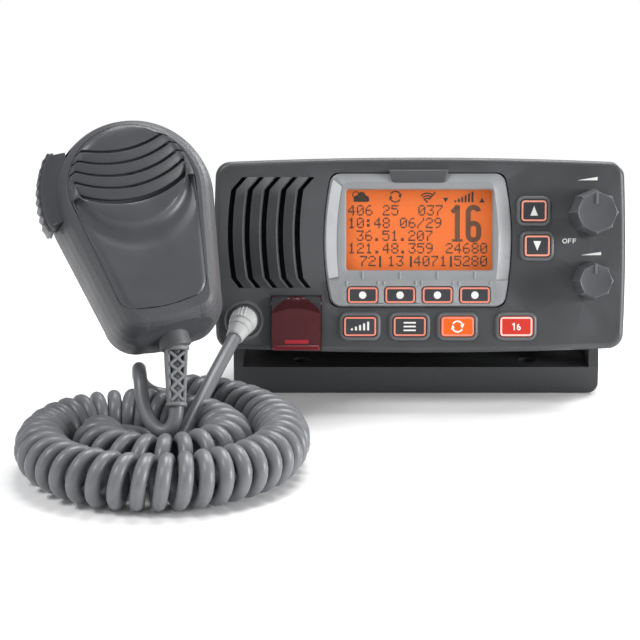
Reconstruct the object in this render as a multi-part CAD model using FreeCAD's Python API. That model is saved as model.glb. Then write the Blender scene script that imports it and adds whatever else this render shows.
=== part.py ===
import FreeCAD, Part
import math
import os

# Fixed-mount marine VHF radio in its gimbal bracket, with a hand microphone on a hanger and
# its curly cord laid in two rounds beside the set.  Millimetres, +Z up, +X to the right of
# somebody facing the panel, -Y towards them.  The origin is on the face that the bracket
# stands on, straight under the tilt pivot.

V = FreeCAD.Vector

# ---- tilt and pivot -------------------------------------------------------------------
TILT = 12.2              # degrees that the panel leans back at rest
PIVOT_Z = 52.4           # height of the pivot above the bracket's foot
PIVOT_DEPTH = 42.0       # pivot behind the panel's front plane

# ---- front panel ----------------------------------------------------------------------
PANEL_W = 163.0
PANEL_H = 77.2           # at the middle of the bowed top and bottom edges
PANEL_BOW = 1.9          # rise of the top and bottom edges
PANEL_SIDE_BOW = 1.0
PANEL_CORNER = 6.0
PANEL_EDGE = 2.4         # rounding of the front edge
PANEL_DEPTH = 9.5
PLATE = 3.0              # thickness of the panel's front plate
PANEL_WALL = 2.5

# the layout on the panel's face grows and shrinks with the panel
ACROSS = PANEL_W / 163.0
UP = PANEL_H / 77.2

# ---- screen ---------------------------------------------------------------------------
BEZEL_X, BEZEL_Z = -0.9 * ACROSS, 6.0 * UP
BEZEL_W, BEZEL_H = 68.0 * ACROSS, 52.6 * UP      # at the corners
BEZEL_BOW = 3.0                  # bulge of each side
BEZEL_CORNER = 3.5
BEZEL_PROUD = 1.2
BEZEL_GAP = 0.3
BEZEL_LIP = 2.0                  # hidden lip that holds the bezel from behind
LIP_THICK = 0.6
TAB_W, TAB_H = 23.0, 4.4         # dark tab over the top edge of the screen
LCD_X, LCD_Z = -0.35 * ACROSS, 10.0 * UP
LCD_W, LCD_H = 57.6 * ACROSS, 31.7 * UP          # visible opening
WINDOW_LEDGE = 1.5
WINDOW_THICK = 1.2
LCD_THICK = 1.6
LCD_MARGIN = 2.0

# ---- speaker --------------------------------------------------------------------------
SLOT_COUNT = 5
SLOT_X = -74.9 * ACROSS  # middle of the first slot
SLOT_PITCH = 6.6 * ACROSS
SLOT_WIDTH = 2.1
SLOT_TOP, SLOT_BOTTOM = 30.8 * UP, -12.9 * UP
SLOT_KINK_TOP, SLOT_KINK_BOTTOM = 25.8 * UP, -9.0 * UP
SLOT_BULGE = 1.4         # how far the slot's middle lies left of its kinks
SLOT_SHIFT_TOP, SLOT_SHIFT_BOTTOM = 4.4, 3.0
SPEAKER_X, SPEAKER_Z = -57.5 * ACROSS, 9.0 * UP
SPEAKER_R = 17.5 * min(ACROSS, UP)
SPEAKER_MAGNET_R = 7.6
GAUZE_THICK = 0.4

# ---- keys: centre x, centre z, width, height --------------------------------------------
KEY_TRAVEL = 0.7
KEY_CLEAR = 0.2
KEY_FLANGE = 0.9         # hidden flange round each key
FLANGE_THICK = 0.8
SOFT_W, SOFT_H = 12.0 * ACROSS, 6.5 * UP
SOFT_Z = -15.7 * UP
SOFT_X = -22.7 * ACROSS
SOFT_PITCH = 14.75 * ACROSS
SOFT_COUNT = 4
LOWER_W, LOWER_H = 13.0 * ACROSS, 7.9 * UP
LOWER_Z = -28.1 * UP
LOWER_KEYS = {"power_level_key": -23.7 * ACROSS, "menu_key": -4.1 * ACROSS,
              "rewind_key": 14.8 * ACROSS, "channel_16_key": 38.0 * ACROSS}
CHANNEL_W, CHANNEL_H = 10.2 * ACROSS, 8.5 * UP
CHANNEL_KEYS = {"channel_up_key": (44.8 * ACROSS, 17.5 * UP), "channel_down_key": (46.1 * ACROSS, 3.7 * UP)}
KEY_CORNER = 1.4
KEY_PROUD = 0.9
RIM_WIDTH, RIM_PROUD = 1.3, 0.8  # raised surround of the lower and channel keys

# ---- rotary controls ------------------------------------------------------------------
KNOBS = {"volume": (67.7 * ACROSS, 16.7 * UP, 9.6), "squelch": (67.4 * ACROSS, -9.9 * UP, 7.9)}
KNOB_HEIGHT = 13.0
KNOB_LOBES = 8
KNOB_NOTCH_R = 2.2
KNOB_NOTCH_DEPTH = 0.9
KNOB_AIR = 0.6           # gap under the knob
SHAFT_R = 3.0
RUN_CLEAR = 0.05         # radial running clearance of shafts and studs
ENCODER_SIDE, ENCODER_DEPTH = 12.0, 5.6

# ---- distress cover -------------------------------------------------------------------
COVER_LEFT, COVER_RIGHT = -58.6 * ACROSS, -39.2 * ACROSS
COVER_TOP = -16.2 * UP
COVER_BOTTOM = 1.0 - PANEL_H / 2.0
COVER_CLEAR = 0.35
COVER_THICK = 1.5
COVER_PROUD = 2.2
RECESS_DEPTH = 2.0
NOSE_R = 3.0             # the cover's top is a round nose about the hinge pin
NOSE_CLEAR = 0.2
NOSE_WALL = 1.0          # of the panel behind the nose
HINGE_Z = COVER_TOP + COVER_CLEAR - NOSE_R - NOSE_CLEAR
HINGE_DEPTH = 0.6        # of the hinge pin's axis behind the panel's front plane
HINGE_BARREL_R = 1.0
HINGE_PIN_R = 0.5
PIN_GRIP = 2.0           # the pin's reach into the panel at each end
BUTTON_R = 4.6
BUTTON_Z = COVER_TOP - 11.8
BUTTON_TRAVEL = 0.8

# ---- microphone socket and plug ---------------------------------------------------------
SOCKET_X, SOCKET_Z = 12.0 - PANEL_W / 2.0, 12.9 - PANEL_H / 2.0
SOCKET_R = 6.2
SOCKET_BORE_R = 4.2
SOCKET_DEPTH = 9.0
PLUG_HEAD_R = 5.3
PLUG_HEAD_OUT = 6.0      # centre of the plug's head in front of the panel
PLUG_NECK = 11.0         # from the head's centre to where the cord leaves
PLUG_AIM = V(-0.273, -0.796, -0.540).normalize()   # direction of the cord, in the panel's frame

# ---- boards behind the panel ------------------------------------------------------------
MAT_DEPTH, MAT_THICK = 5.5, 1.0
BOARD_GAP = 0.2
BOARD_THICK = 1.6
FRONT_BOARD = (-38.5 * ACROSS, -34.0 * UP, 98.0 * ACROSS, 65.0 * UP)     # left, bottom, width, height
BOARD_SCREW_INSET = 2.9
SCREW_R = 1.3
SCREW_HEAD_R, SCREW_HEAD = 2.4, 1.4
BOSS_R = 2.8
PANEL_SCREW_X, PANEL_SCREW_Z = PANEL_W / 2.0 - 5.3, PANEL_H / 2.0 - 6.0
GASKET_THICK = 0.8

# ---- die-cast chassis and heat sink -----------------------------------------------------
FLANGE_DEPTH = 2.2
FLANGE_INSET = 0.8
CHASSIS_W = PANEL_W - 26.0
CHASSIS_TOP, CHASSIS_BOTTOM = PANEL_H / 2.0 - 7.6, 8.6 - PANEL_H / 2.0
CHASSIS_BACK = 115.0     # behind the panel's front plane
CHASSIS_WALL = 2.5
CHASSIS_CORNER = 6.0
PIVOT_BOSS_R, PIVOT_BOSS_LENGTH = 8.0, 12.0
POST_R, POST_HEIGHT = 3.0, 7.0
MAIN_BOARD_MARGIN = 8.5
BOARD_POST_IN = 4.0      # the board's posts from its sides
BOARD_POST_FRONT, BOARD_POST_REAR = 16.0, 14.0   # from the flange and from the chassis' back
BOARD_FRONT_ROOM, BOARD_REAR_ROOM = 8.0, 4.0
# the largest blocks on the main board: the side they lie on, how far from its edge, how wide,
# front and back (from the board's front edge) and height
BOARD_BLOCKS = ((-1, 23.5, 42.0, 12.0, 44.0, 9.0),       # screened receiver
                (1, 7.5, 36.0, 56.5, 84.5, 7.0),         # transmitter module
                (-1, 17.5, 18.0, 68.5, 82.5, 14.0),      # supply capacitors
                (1, 33.5, 36.0, 1.0, 7.0, 8.0))          # connector to the front board
SINK_PLATE = 4.0
SINK_INSET = 2.5
FIN_COUNT = 9
FIN_PITCH = 7.0
FIN_THICK = 2.0
FIN_DEPTH = 13.0
ANTENNA_X, ANTENNA_Z = 48.0, 2.0
ANTENNA_R, ANTENNA_LENGTH = 7.94, 16.0
ANTENNA_FLANGE, ANTENNA_FLANGE_THICK = 25.4, 1.6
INSULATOR_R, CONTACT_R = 6.0, 2.0
GLAND_X, GLAND_Z = -48.0, -4.0
GLAND_R, GLAND_COLLAR_R, GLAND_BORE_R = 6.0, 8.5, 2.6

# ---- gimbal bracket ---------------------------------------------------------------------
WASHER_THICK = 2.5
ARM_THICK = 4.0
BRACKET_W = CHASSIS_W + 2 * (WASHER_THICK + ARM_THICK)
ARM_TOP_R = 16.0
FOOT_FRONT, FOOT_REAR = -26.0, 40.0
FOOT_HIGH, FOOT_LOW = 11.0, 5.0
FOOT_STEP = 14.0         # where the foot steps down behind
FOOT_CORNER = 4.0
CROSS_RIB_FRONT, CROSS_RIB_REAR = -4.5, 1.5      # the cross rib that carries the origin
RIB = 3.0
RIB_PITCH = 24.0
FOOT_LOW_SKIN = 2.4
BOLT_X, BOLT_FRONT, BOLT_REAR = 47.0, -15.0, 30.0
BOLT_R = 3.7
BOLT_PAD_R = 7.5
WASHER_R = 12.0
STUD_R = 3.0
STUD_IN = 9.0            # engagement inside the chassis boss
CLAMP_R, CLAMP_THICK = 14.0, 8.0
CLAMP_LOBES = 7

# ---- microphone: its own frame has the origin at the cord collar, x across, z up its length,
# ---- -y out of its face ---------------------------------------------------------------
MIC_LEAN, MIC_ROLL, MIC_YAW = 28.0, 10.0, 15.0
BESIDE = V(-PANEL_W / 2.0, 0, 0)     # what lies left of the set keeps its distance from the panel
MIC_AT = BESIDE + V(-10.0, -107.5, 43.6)
MIC_R = 29.8             # radius of the round top
MIC_TOP_Z = 55.0         # centre of the round top above the collar
MIC_FOOT_HALF = 21.4
MIC_FOOT_Z = 12.0
MIC_FOOT_CORNER = 13.0
MIC_FOOT_LOW = 0.1
MIC_LOW_BOW = 1.0        # rise of the lower edge from its middle to its corners
MIC_LEAST_CORNER = 2.0
MIC_FRONT, MIC_BACK = 15.0, 17.0     # from the collar's axis to the face and to the back
# the front shell's pillow form: how far its outline is drawn in, at which depth behind the face
MIC_FRONT_ROUND = ((7.4, 0.0), (5.7, 0.9), (4.2, 2.5), (2.7, 5.2), (1.3, 9.2), (0.4, 14.0))
MIC_BACK_ROUND = 5.0
# the front shell's underside rises towards the face: depth and height of its line
MIC_UNDERSIDE = ((-20.0, 5.2), (-12.0, 4.6), (-6.0, 3.6), (3.0, 0.3))
MIC_SPLIT = 5.0          # the two shells part this far behind the axis
MIC_WALL = 2.2
PLATE_X, PLATE_TOP_Z, PLATE_R = -1.8, MIC_TOP_Z + 1.6, MIC_R - 7.1     # the face plate's round top
PLATE_FOOT_HALF, PLATE_FOOT_Z, PLATE_LOW = 16.2, 18.5, 11.0
PLATE_CORNER = 7.0
PLATE_THICK = 2.4
PLATE_PROUD = 0.4
PLATE_SEAT_AIR = 0.15
LEDGE_COUNT = 5
LEDGE_PITCH = 4.65
LEDGE_TOP = 68.8
LEDGE_R = 38.0           # radius of the smile-shaped ledges
LEDGE_CUT, LEDGE_DEPTH = 1.8, 0.9
MIC_HOLES = ((-1.6, 60.4), (-1.4, 55.8))        # the two sound holes, x and z
MIC_HOLE_R = 0.8
MIC_BOARD = -1.0         # front of the microphone's board
MIC_SCREWS = ((12.0, 11.0), (MIC_R - 18.3, MIC_TOP_Z + 13.5))        # x and z of each pair
MIC_SCREW_GRIP = 2.0     # of each screw in the front shell
CAPSULE_AT = (-1.5, 58.0)
CAPSULE_R, CAPSULE_DEPTH = 5.0, 5.0
PTT_Z, PTT_LENGTH, PTT_WIDTH = 63.5, 25.0, 13.0
PTT_PROUD, PTT_TRAVEL = 5.5, 2.2
PTT_IN, PTT_HOLE_IN = 9.0, 14.0      # how deep the button and its hole reach into the shell
PTT_AIR = 0.3
MIC_BOARD_EDGE = 5.0     # of the board from the shell's inner wall
MIC_BOARD_LOW = 15.5
MIC_HOLLOW_IN = 6.0      # of the front shell's hollow from its outline
MIC_BOARD_PTT_AIR = 2.0
BEYOND = 30.0            # how far the cutting blocks reach past what they cut
COLLAR_R, COLLAR_LOW, COLLAR_HIGH = 5.8, -2.0, 7.0
RELIEF_TOP_R, RELIEF_END_R = 4.9, 3.9
STUD_Z = 48.0            # hanger stud above the collar
HANGER_STUD_SHANK, HANGER_STUD_NECK = 2.5, 3.4    # radii
HANGER_STUD_HEAD_R, HANGER_STUD_HEAD = 8.0, 2.4

# ---- microphone hanger: a strap clamped under the left knob ---------------------------------
HANGER_THICK = 1.6
HANGER_W, HANGER_TOP, HANGER_LOW = 30.0, 62.0, 36.5
HANGER_AIR = 0.3         # gap between the microphone's back and the hanger
SLOT_CLEAR = 0.35
EYE_R = 10.0
STRAP_H = 16.0
STRAP_Z = 54.0
STRAP_X = -3.1 - PANEL_W / 2.0       # middle of the strap where it passes the panel
JOG_REAR, JOG_FRONT = -15.5, -25.5
STRAP_FRONT = -58.0
TAB_Y, TAB_LOW, TAB_HIGH, TAB_REACH = -22.0, 40.0, 46.5, 3.0

# ---- curly cord -------------------------------------------------------------------------
CORD_R = 2.6
COIL_R = 10.0            # outer radius of the curly part
RING_X, RING_Y = -14.1 - PANEL_W / 2.0, -118.0
# the rounds spiral out from the cord's end at the set: angle in degrees from +X, radius
ROUNDS = ((150.0, 20.0), (180.0, 23.0), (395.0, 23.0), (430.0, 25.0), (450.0, 28.0), (470.0, 33.0),
          (490.0, 38.0), (510.0, 42.0), (530.0, 43.5), (720.0, 43.5), (750.0, 44.5), (780.0, 47.5),
          (800.0, 51.5), (814.0, 55.5))
ROUND_STEPS = 30
TAIL_STRAIGHT = 58.0     # the taut stretch from the plug down into the rounds
RADIO_TAIL = [BESIDE + V(-9.0, -123.5, 7.4), BESIDE + V(-15.8, -124.9, 5.5),
              BESIDE + V(-20.3, -119.1, 3.6), BESIDE + V(-15.9, -106.9, 3.6),
              BESIDE + V(-22.4, -101.3, 7.2), BESIDE + V(-30.0, -106.7, 10.2),
              BESIDE + V(-33.0, -110.9, 10.2)]
MIC_TAIL = [BESIDE + V(-14.5, -120.2, 10.7), BESIDE + V(-27.1, -115.5, 13.1),
            BESIDE + V(-23.5, -103.6, 33.0), BESIDE + V(-25.7, -86.0, 27.5),
            BESIDE + V(-27.9, -70.5, 20.0), BESIDE + V(-25.0, -63.2, 12.0), BESIDE + V(-16.5, -62.5, 10.3)]
RELIEF_END = BESIDE + V(-9.2, -116.0, 22.9)
RELIEF_RUN = 6.5         # the cord's first run on from the strain relief
BEND_SHARE = 0.48


# ======== helpers =========================================================================
def cylinder(radius, height, at, axis):
    return Part.makeCylinder(radius, height, at, axis)


def cone(r1, r2, height, at, axis):
    return Part.makeCone(r1, r2, height, at, axis)


def along_y(radius, x, z, front, back):
    return cylinder(radius, back - front, V(x, front, z), V(0, 1, 0))


def box(x0, x1, y0, y1, z0, z1):
    return Part.makeBox(x1 - x0, y1 - y0, z1 - z0, V(x0, y0, z0))


def fillet_if(shape, radius, wanted):
    edges = [e for e in shape.Edges if wanted(e)]
    return shape.makeFillet(radius, edges) if edges else shape


def parallel_to(direction):
    def wanted(edge):
        if len(edge.Vertexes) != 2:
            return False
        run = edge.Vertexes[1].Point - edge.Vertexes[0].Point
        return run.Length > 1e-6 and run.cross(direction).Length < 1e-6 * run.Length
    return wanted


def in_plane_y(depth):
    def wanted(edge):
        return abs(edge.BoundBox.YMin - depth) < 1e-5 and abs(edge.BoundBox.YMax - depth) < 1e-5
    return wanted


def bowed_block(x, z, width, height, bow_z, bow_x, corner, front, back):
    """A block seen from the front as a rectangle with four outward-bowed sides; width and
    height are taken over the bows."""
    hw, hh = width / 2.0, height / 2.0
    cw, ch = hw - bow_x, hh - bow_z
    corners = [V(x - cw, front, z - ch), V(x + cw, front, z - ch),
               V(x + cw, front, z + ch), V(x - cw, front, z + ch)]
    middles = [V(x, front, z - hh), V(x + hw, front, z), V(x, front, z + hh), V(x - hw, front, z)]
    edges = []
    for i in range(4):
        a, b = corners[i], corners[(i + 1) % 4]
        straight = (bow_z if i % 2 == 0 else bow_x) == 0
        edges.append(Part.makeLine(a, b) if straight else Part.Arc(a, middles[i], b).toShape())
    block = Part.Face(Part.Wire(edges)).extrude(V(0, back - front, 0))
    return fillet_if(block, corner, parallel_to(V(0, 1, 0))) if corner else block


def rounded_block(x, z, width, height, corner, front, back):
    return bowed_block(x, z, width, height, 0, 0, corner, front, back)


def fuse(shapes):
    whole = shapes[0]
    for extra in shapes[1:]:
        whole = whole.fuse(extra)
    return whole.removeSplitter()


def cut(shape, *tools):
    for tool in tools:
        shape = shape.cut(tool)
    return shape


def radio_place(shape):
    """From the panel's own frame (origin at the panel's front centre) to the rest pose."""
    moved = shape.copy()
    moved.translate(V(0, -PIVOT_DEPTH, 0))
    moved.rotate(V(0, 0, 0), V(1, 0, 0), -TILT)
    moved.translate(V(0, 0, PIVOT_Z))
    return moved


def radio_point(point):
    return radio_place(Part.Vertex(point)).Point


def mic_place(shape):
    """From the microphone's own frame to the rest pose."""
    moved = shape.copy()
    moved.rotate(V(0, 0, 0), V(0, 1, 0), -MIC_ROLL)
    moved.rotate(V(0, 0, 0), V(1, 0, 0), -MIC_LEAN)
    moved.rotate(V(0, 0, 0), V(0, 0, 1), MIC_YAW)
    moved.translate(MIC_AT)
    return moved


def mic_point(point):
    return mic_place(Part.Vertex(point)).Point


parts = {}


# ======== front panel and what sits in it ===================================================
def key_layout():
    """Every key as name: (x, z, width, height)."""
    keys = {}
    for i in range(SOFT_COUNT):
        keys["soft_key_%d" % (i + 1)] = (SOFT_X + i * SOFT_PITCH, SOFT_Z, SOFT_W, SOFT_H)
    for name, x in LOWER_KEYS.items():
        keys[name] = (x, LOWER_Z, LOWER_W, LOWER_H)
    for name, (x, z) in CHANNEL_KEYS.items():
        keys[name] = (x, z, CHANNEL_W, CHANNEL_H)
    return keys


KEYS = key_layout()
BEZEL_BACK = PLATE + LIP_THICK


def is_soft(name):
    return name.startswith("soft")


def speaker_slot(index):
    """One '('-shaped slot with kinked ends, cut through the panel's plate."""
    left = SLOT_X + index * SLOT_PITCH - SLOT_WIDTH / 2.0
    middle_z = (SLOT_KINK_TOP + SLOT_KINK_BOTTOM) / 2.0

    def side(x):
        kink = x + SLOT_BULGE
        return [V(kink + SLOT_SHIFT_BOTTOM, 0, SLOT_BOTTOM), V(kink, 0, SLOT_KINK_BOTTOM),
                V(x, 0, middle_z), V(kink, 0, SLOT_KINK_TOP), V(kink + SLOT_SHIFT_TOP, 0, SLOT_TOP)]

    a, b = side(left), side(left + SLOT_WIDTH)
    edges = [Part.makeLine(a[0], a[1]), Part.Arc(a[1], a[2], a[3]).toShape(), Part.makeLine(a[3], a[4]),
             Part.makeLine(a[4], b[4]), Part.makeLine(b[4], b[3]), Part.Arc(b[3], b[2], b[1]).toShape(),
             Part.makeLine(b[1], b[0]), Part.makeLine(b[0], a[0])]
    slot = Part.Face(Part.Wire(edges)).extrude(V(0, PLATE + 2, 0))
    slot.translate(V(0, -1, 0))
    return slot


def bezel_block(grow, front, back):
    return bowed_block(BEZEL_X, BEZEL_Z, BEZEL_W + 2 * (BEZEL_BOW + grow), BEZEL_H + 2 * grow, 0,
                       BEZEL_BOW, BEZEL_CORNER + grow, front, back)


def cover_middle():
    return (COVER_LEFT + COVER_RIGHT) / 2.0


def hinge_bar(radius, beyond):
    """A round bar on the cover's hinge line that reaches past the cover at both ends."""
    return cylinder(radius, COVER_RIGHT - COVER_LEFT + 2 * beyond,
                    V(COVER_LEFT - beyond, HINGE_DEPTH, HINGE_Z), V(1, 0, 0))


def screw_spots():
    return [(sx * PANEL_SCREW_X, sz * PANEL_SCREW_Z) for sx in (-1, 1) for sz in (-1, 1)]


def board_screw_spots():
    """Three corners of the front board; the fourth lies behind the screen's bezel."""
    left, bottom, width, height = FRONT_BOARD
    inset = BOARD_SCREW_INSET
    right, top = left + width, bottom + height
    return [(left + inset, bottom + inset), (right - inset, bottom + inset), (right - inset, top - inset)]


BOARD_FRONT = MAT_DEPTH + MAT_THICK + BOARD_GAP


def front_panel():
    outer = bowed_block(0, 0, PANEL_W, PANEL_H, PANEL_BOW, PANEL_SIDE_BOW, PANEL_CORNER, 0, PANEL_DEPTH)
    outer = fillet_if(outer, PANEL_EDGE, in_plane_y(0))
    inner = bowed_block(0, 0, PANEL_W - 2 * PANEL_WALL, PANEL_H - 2 * PANEL_WALL, PANEL_BOW,
                        PANEL_SIDE_BOW, PANEL_CORNER - PANEL_WALL, PLATE, PANEL_DEPTH + 1)
    panel = outer.cut(inner)
    for name, (x, z, w, h) in KEYS.items():
        if not is_soft(name):
            rim = rounded_block(x, z, w + 2 * RIM_WIDTH, h + 2 * RIM_WIDTH, KEY_CORNER + RIM_WIDTH,
                                -RIM_PROUD, 1)
            panel = panel.fuse(rim)
    posts = [along_y(BOSS_R, x, z, PLATE - 1, PANEL_DEPTH) for x, z in screw_spots()]
    posts += [along_y(BOSS_R, x, z, PLATE - 1, BOARD_FRONT) for x, z in board_screw_spots()]
    # a round wall behind the plate gives the cover's nose its room
    room = hinge_bar(NOSE_R + NOSE_CLEAR + NOSE_WALL, COVER_CLEAR + NOSE_WALL)
    room = room.common(box(COVER_LEFT - PANEL_W, COVER_RIGHT + PANEL_W, PLATE - 1, PANEL_DEPTH, -PANEL_H, PANEL_H))
    room = room.cut(bezel_block(BEZEL_LIP + BEZEL_GAP, PLATE, PANEL_DEPTH))
    panel = fuse([panel, room] + posts)
    tools = [bezel_block(BEZEL_GAP, -2, PLATE + 1)]
    tools += [speaker_slot(i) for i in range(SLOT_COUNT)]
    for name, (x, z, w, h) in KEYS.items():
        if not is_soft(name):
            tools.append(rounded_block(x, z, w + 2 * KEY_CLEAR, h + 2 * KEY_CLEAR,
                                       KEY_CORNER + KEY_CLEAR, -2, PLATE + 1))
    for x, z, r in KNOBS.values():
        tools.append(along_y(SHAFT_R + RUN_CLEAR, x, z, -1, PLATE + 1))
    tools.append(along_y(SOCKET_R + 0.1, SOCKET_X, SOCKET_Z, -1, PLATE + 1))
    tools.append(box(COVER_LEFT - COVER_CLEAR, COVER_RIGHT + COVER_CLEAR, -2, RECESS_DEPTH,
                     -PANEL_H, COVER_TOP + COVER_CLEAR))
    tools.append(along_y(BUTTON_R + KEY_CLEAR, cover_middle(), BUTTON_Z, -1, PLATE + 1))
    tools += [hinge_bar(HINGE_PIN_R, COVER_CLEAR + PIN_GRIP), hinge_bar(NOSE_R + NOSE_CLEAR, COVER_CLEAR)]
    tools += [along_y(SCREW_R, x, z, PLATE + 1, PANEL_DEPTH + 1) for x, z in screw_spots()]
    tools += [along_y(SCREW_R, x, z, PLATE + 0.5, BOARD_FRONT + 1) for x, z in board_screw_spots()]
    return cut(panel, *tools)


def build_front():
    parts["front_panel"] = radio_place(front_panel())
    bezel = bezel_block(0, -BEZEL_PROUD, PLATE)
    bezel = fillet_if(bezel, 0.6, in_plane_y(-BEZEL_PROUD))
    bezel = bezel.fuse(bezel_block(BEZEL_LIP, PLATE, BEZEL_BACK))
    tab = rounded_block(BEZEL_X, BEZEL_Z + BEZEL_H / 2.0 - TAB_H / 2.0 + 0.4, TAB_W, TAB_H, 1.0,
                        -BEZEL_PROUD - 0.5, 0)
    bezel = bezel.fuse(tab)
    tools = [rounded_block(LCD_X, LCD_Z, LCD_W, LCD_H, 1.0, -3, PLATE + 2),
             rounded_block(LCD_X, LCD_Z, LCD_W + 2 * WINDOW_LEDGE, LCD_H + 2 * WINDOW_LEDGE, 1.0,
                           PLATE - WINDOW_THICK, PLATE + 2)]
    for name, (x, z, w, h) in KEYS.items():
        if is_soft(name):
            tools.append(rounded_block(x, z, w + 2 * KEY_CLEAR, h + 2 * KEY_CLEAR,
                                       KEY_CORNER + KEY_CLEAR, -3, PLATE + 2))
    parts["screen_bezel"] = radio_place(cut(bezel, *tools))
    parts["screen_window"] = radio_place(rounded_block(
        LCD_X, LCD_Z, LCD_W + 2 * WINDOW_LEDGE, LCD_H + 2 * WINDOW_LEDGE, 1.0,
        PLATE - WINDOW_THICK, PLATE))
    lcd_w, lcd_h = LCD_W + 2 * LCD_MARGIN, LCD_H + 2 * LCD_MARGIN
    lcd_front = BEZEL_BACK + 0.1
    parts["lcd_panel"] = radio_place(rounded_block(LCD_X, LCD_Z, lcd_w, lcd_h, 0, lcd_front,
                                                   lcd_front + LCD_THICK))
    holder = rounded_block(LCD_X, LCD_Z, lcd_w, lcd_h, 1.0, lcd_front + LCD_THICK, BOARD_FRONT)
    parts["lcd_holder"] = radio_place(holder)
    left, bottom, width, height = FRONT_BOARD
    mat = box(left, left + width, MAT_DEPTH, MAT_DEPTH + MAT_THICK, bottom, bottom + height)
    opening = rounded_block(LCD_X, LCD_Z, lcd_w + 1, lcd_h + 1, 1.0, MAT_DEPTH - 1, MAT_DEPTH + 2)
    reach = BOSS_R + KEY_CLEAR
    for x, z in board_screw_spots():
        corner = box(x - reach, x + reach, MAT_DEPTH - 1, MAT_DEPTH + 2, z - reach, z + reach)
        opening = opening.fuse(corner)
    parts["keypad_mat"] = radio_place(mat.cut(opening))
    board = box(left, left + width, BOARD_FRONT, BOARD_FRONT + BOARD_THICK, bottom, bottom + height)
    for x, z in board_screw_spots():
        board = board.cut(along_y(SCREW_R, x, z, BOARD_FRONT - 1, BOARD_FRONT + BOARD_THICK + 1))
    parts["front_board"] = radio_place(board)


def build_keys():
    for name, (x, z, w, h) in KEYS.items():
        soft = is_soft(name)
        proud = BEZEL_PROUD + 0.6 if soft else RIM_PROUD + KEY_PROUD - 0.4
        back = (BEZEL_BACK if soft else PLATE) + KEY_CLEAR
        cap = rounded_block(x, z, w, h, KEY_CORNER, -proud, back)
        cap = fillet_if(cap, 0.4, in_plane_y(-proud))
        flange = rounded_block(x, z, w + 2 * KEY_FLANGE, h + 2 * KEY_FLANGE, KEY_CORNER, back,
                               back + FLANGE_THICK)
        parts[name] = radio_place(cap.fuse(flange).removeSplitter())


def build_speaker():
    front = PLATE + GAUZE_THICK
    width = SLOT_COUNT * SLOT_PITCH + 2.0
    height = SLOT_TOP - SLOT_BOTTOM + 3.0
    gauze = rounded_block(SPEAKER_X - 0.8, (SLOT_TOP + SLOT_BOTTOM) / 2.0, width, height, 1.0, PLATE, front)
    for x, z in screw_spots():
        gauze = gauze.cut(along_y(BOSS_R + KEY_CLEAR, x, z, PLATE - 1, front + 1))
    parts["speaker_gauze"] = radio_place(gauze)
    at = V(SPEAKER_X, front, SPEAKER_Z)
    back = V(0, 1, 0)
    rim = cylinder(SPEAKER_R, 1.4, at, back).cut(cylinder(SPEAKER_R - 2.5, 1.4, at, back))
    basket = cone(SPEAKER_R - 1, SPEAKER_MAGNET_R, 5.5, at + V(0, 1.2, 0), back)
    basket = basket.cut(cone(SPEAKER_R - 2.5, 2.0, 4.6, at + V(0, 1.2, 0), back))
    magnet = cylinder(SPEAKER_MAGNET_R, 6.0, at + V(0, 6.5, 0), back)
    parts["speaker_driver"] = radio_place(fuse([rim, basket, magnet]))


def lobed_knob(radius, height, lobes, notch_r, notch_depth, at, axis, taper):
    """A turned knob with shallow scallops down its side."""
    body = cone(radius, radius - taper, height, at, axis)
    body = body.makeFillet(1.2, [e for e in body.Edges
                                 if abs((e.BoundBox.Center - at - axis * height).Length) < 1e-3])
    across = V(0, 0, 1) if abs(axis.z) < 0.5 else V(1, 0, 0)
    turned = axis.cross(across)
    for i in range(lobes):
        a = 2 * math.pi * (i + 0.5) / lobes
        out = across * math.cos(a) + turned * math.sin(a)
        spot = at + out * (radius - notch_depth + notch_r) - axis
        body = body.cut(cylinder(notch_r, height + 2, spot, axis))
    return body


def build_knobs():
    for name, (x, z, r) in KNOBS.items():
        at = V(x, -KNOB_AIR, z)
        out = V(0, -1, 0)
        knob = lobed_knob(r, KNOB_HEIGHT, KNOB_LOBES, KNOB_NOTCH_R, KNOB_NOTCH_DEPTH, at, out, 0.8)
        shaft_len = KNOB_HEIGHT - 3.0
        knob = knob.cut(along_y(SHAFT_R, x, z, -KNOB_AIR - shaft_len, 0))
        parts[name + "_knob"] = radio_place(knob)
        end = PLATE + ENCODER_DEPTH - 1.5
        parts[name + "_shaft"] = radio_place(along_y(SHAFT_R, x, z, -KNOB_AIR - shaft_len, end))
        half = ENCODER_SIDE / 2.0
        encoder = box(x - half, x + half, PLATE, PLATE + ENCODER_DEPTH, z - half, z + half)
        encoder = encoder.cut(along_y(SHAFT_R + RUN_CLEAR, x, z, PLATE - 1, end + 0.1))
        parts[name + "_encoder"] = radio_place(encoder)


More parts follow.
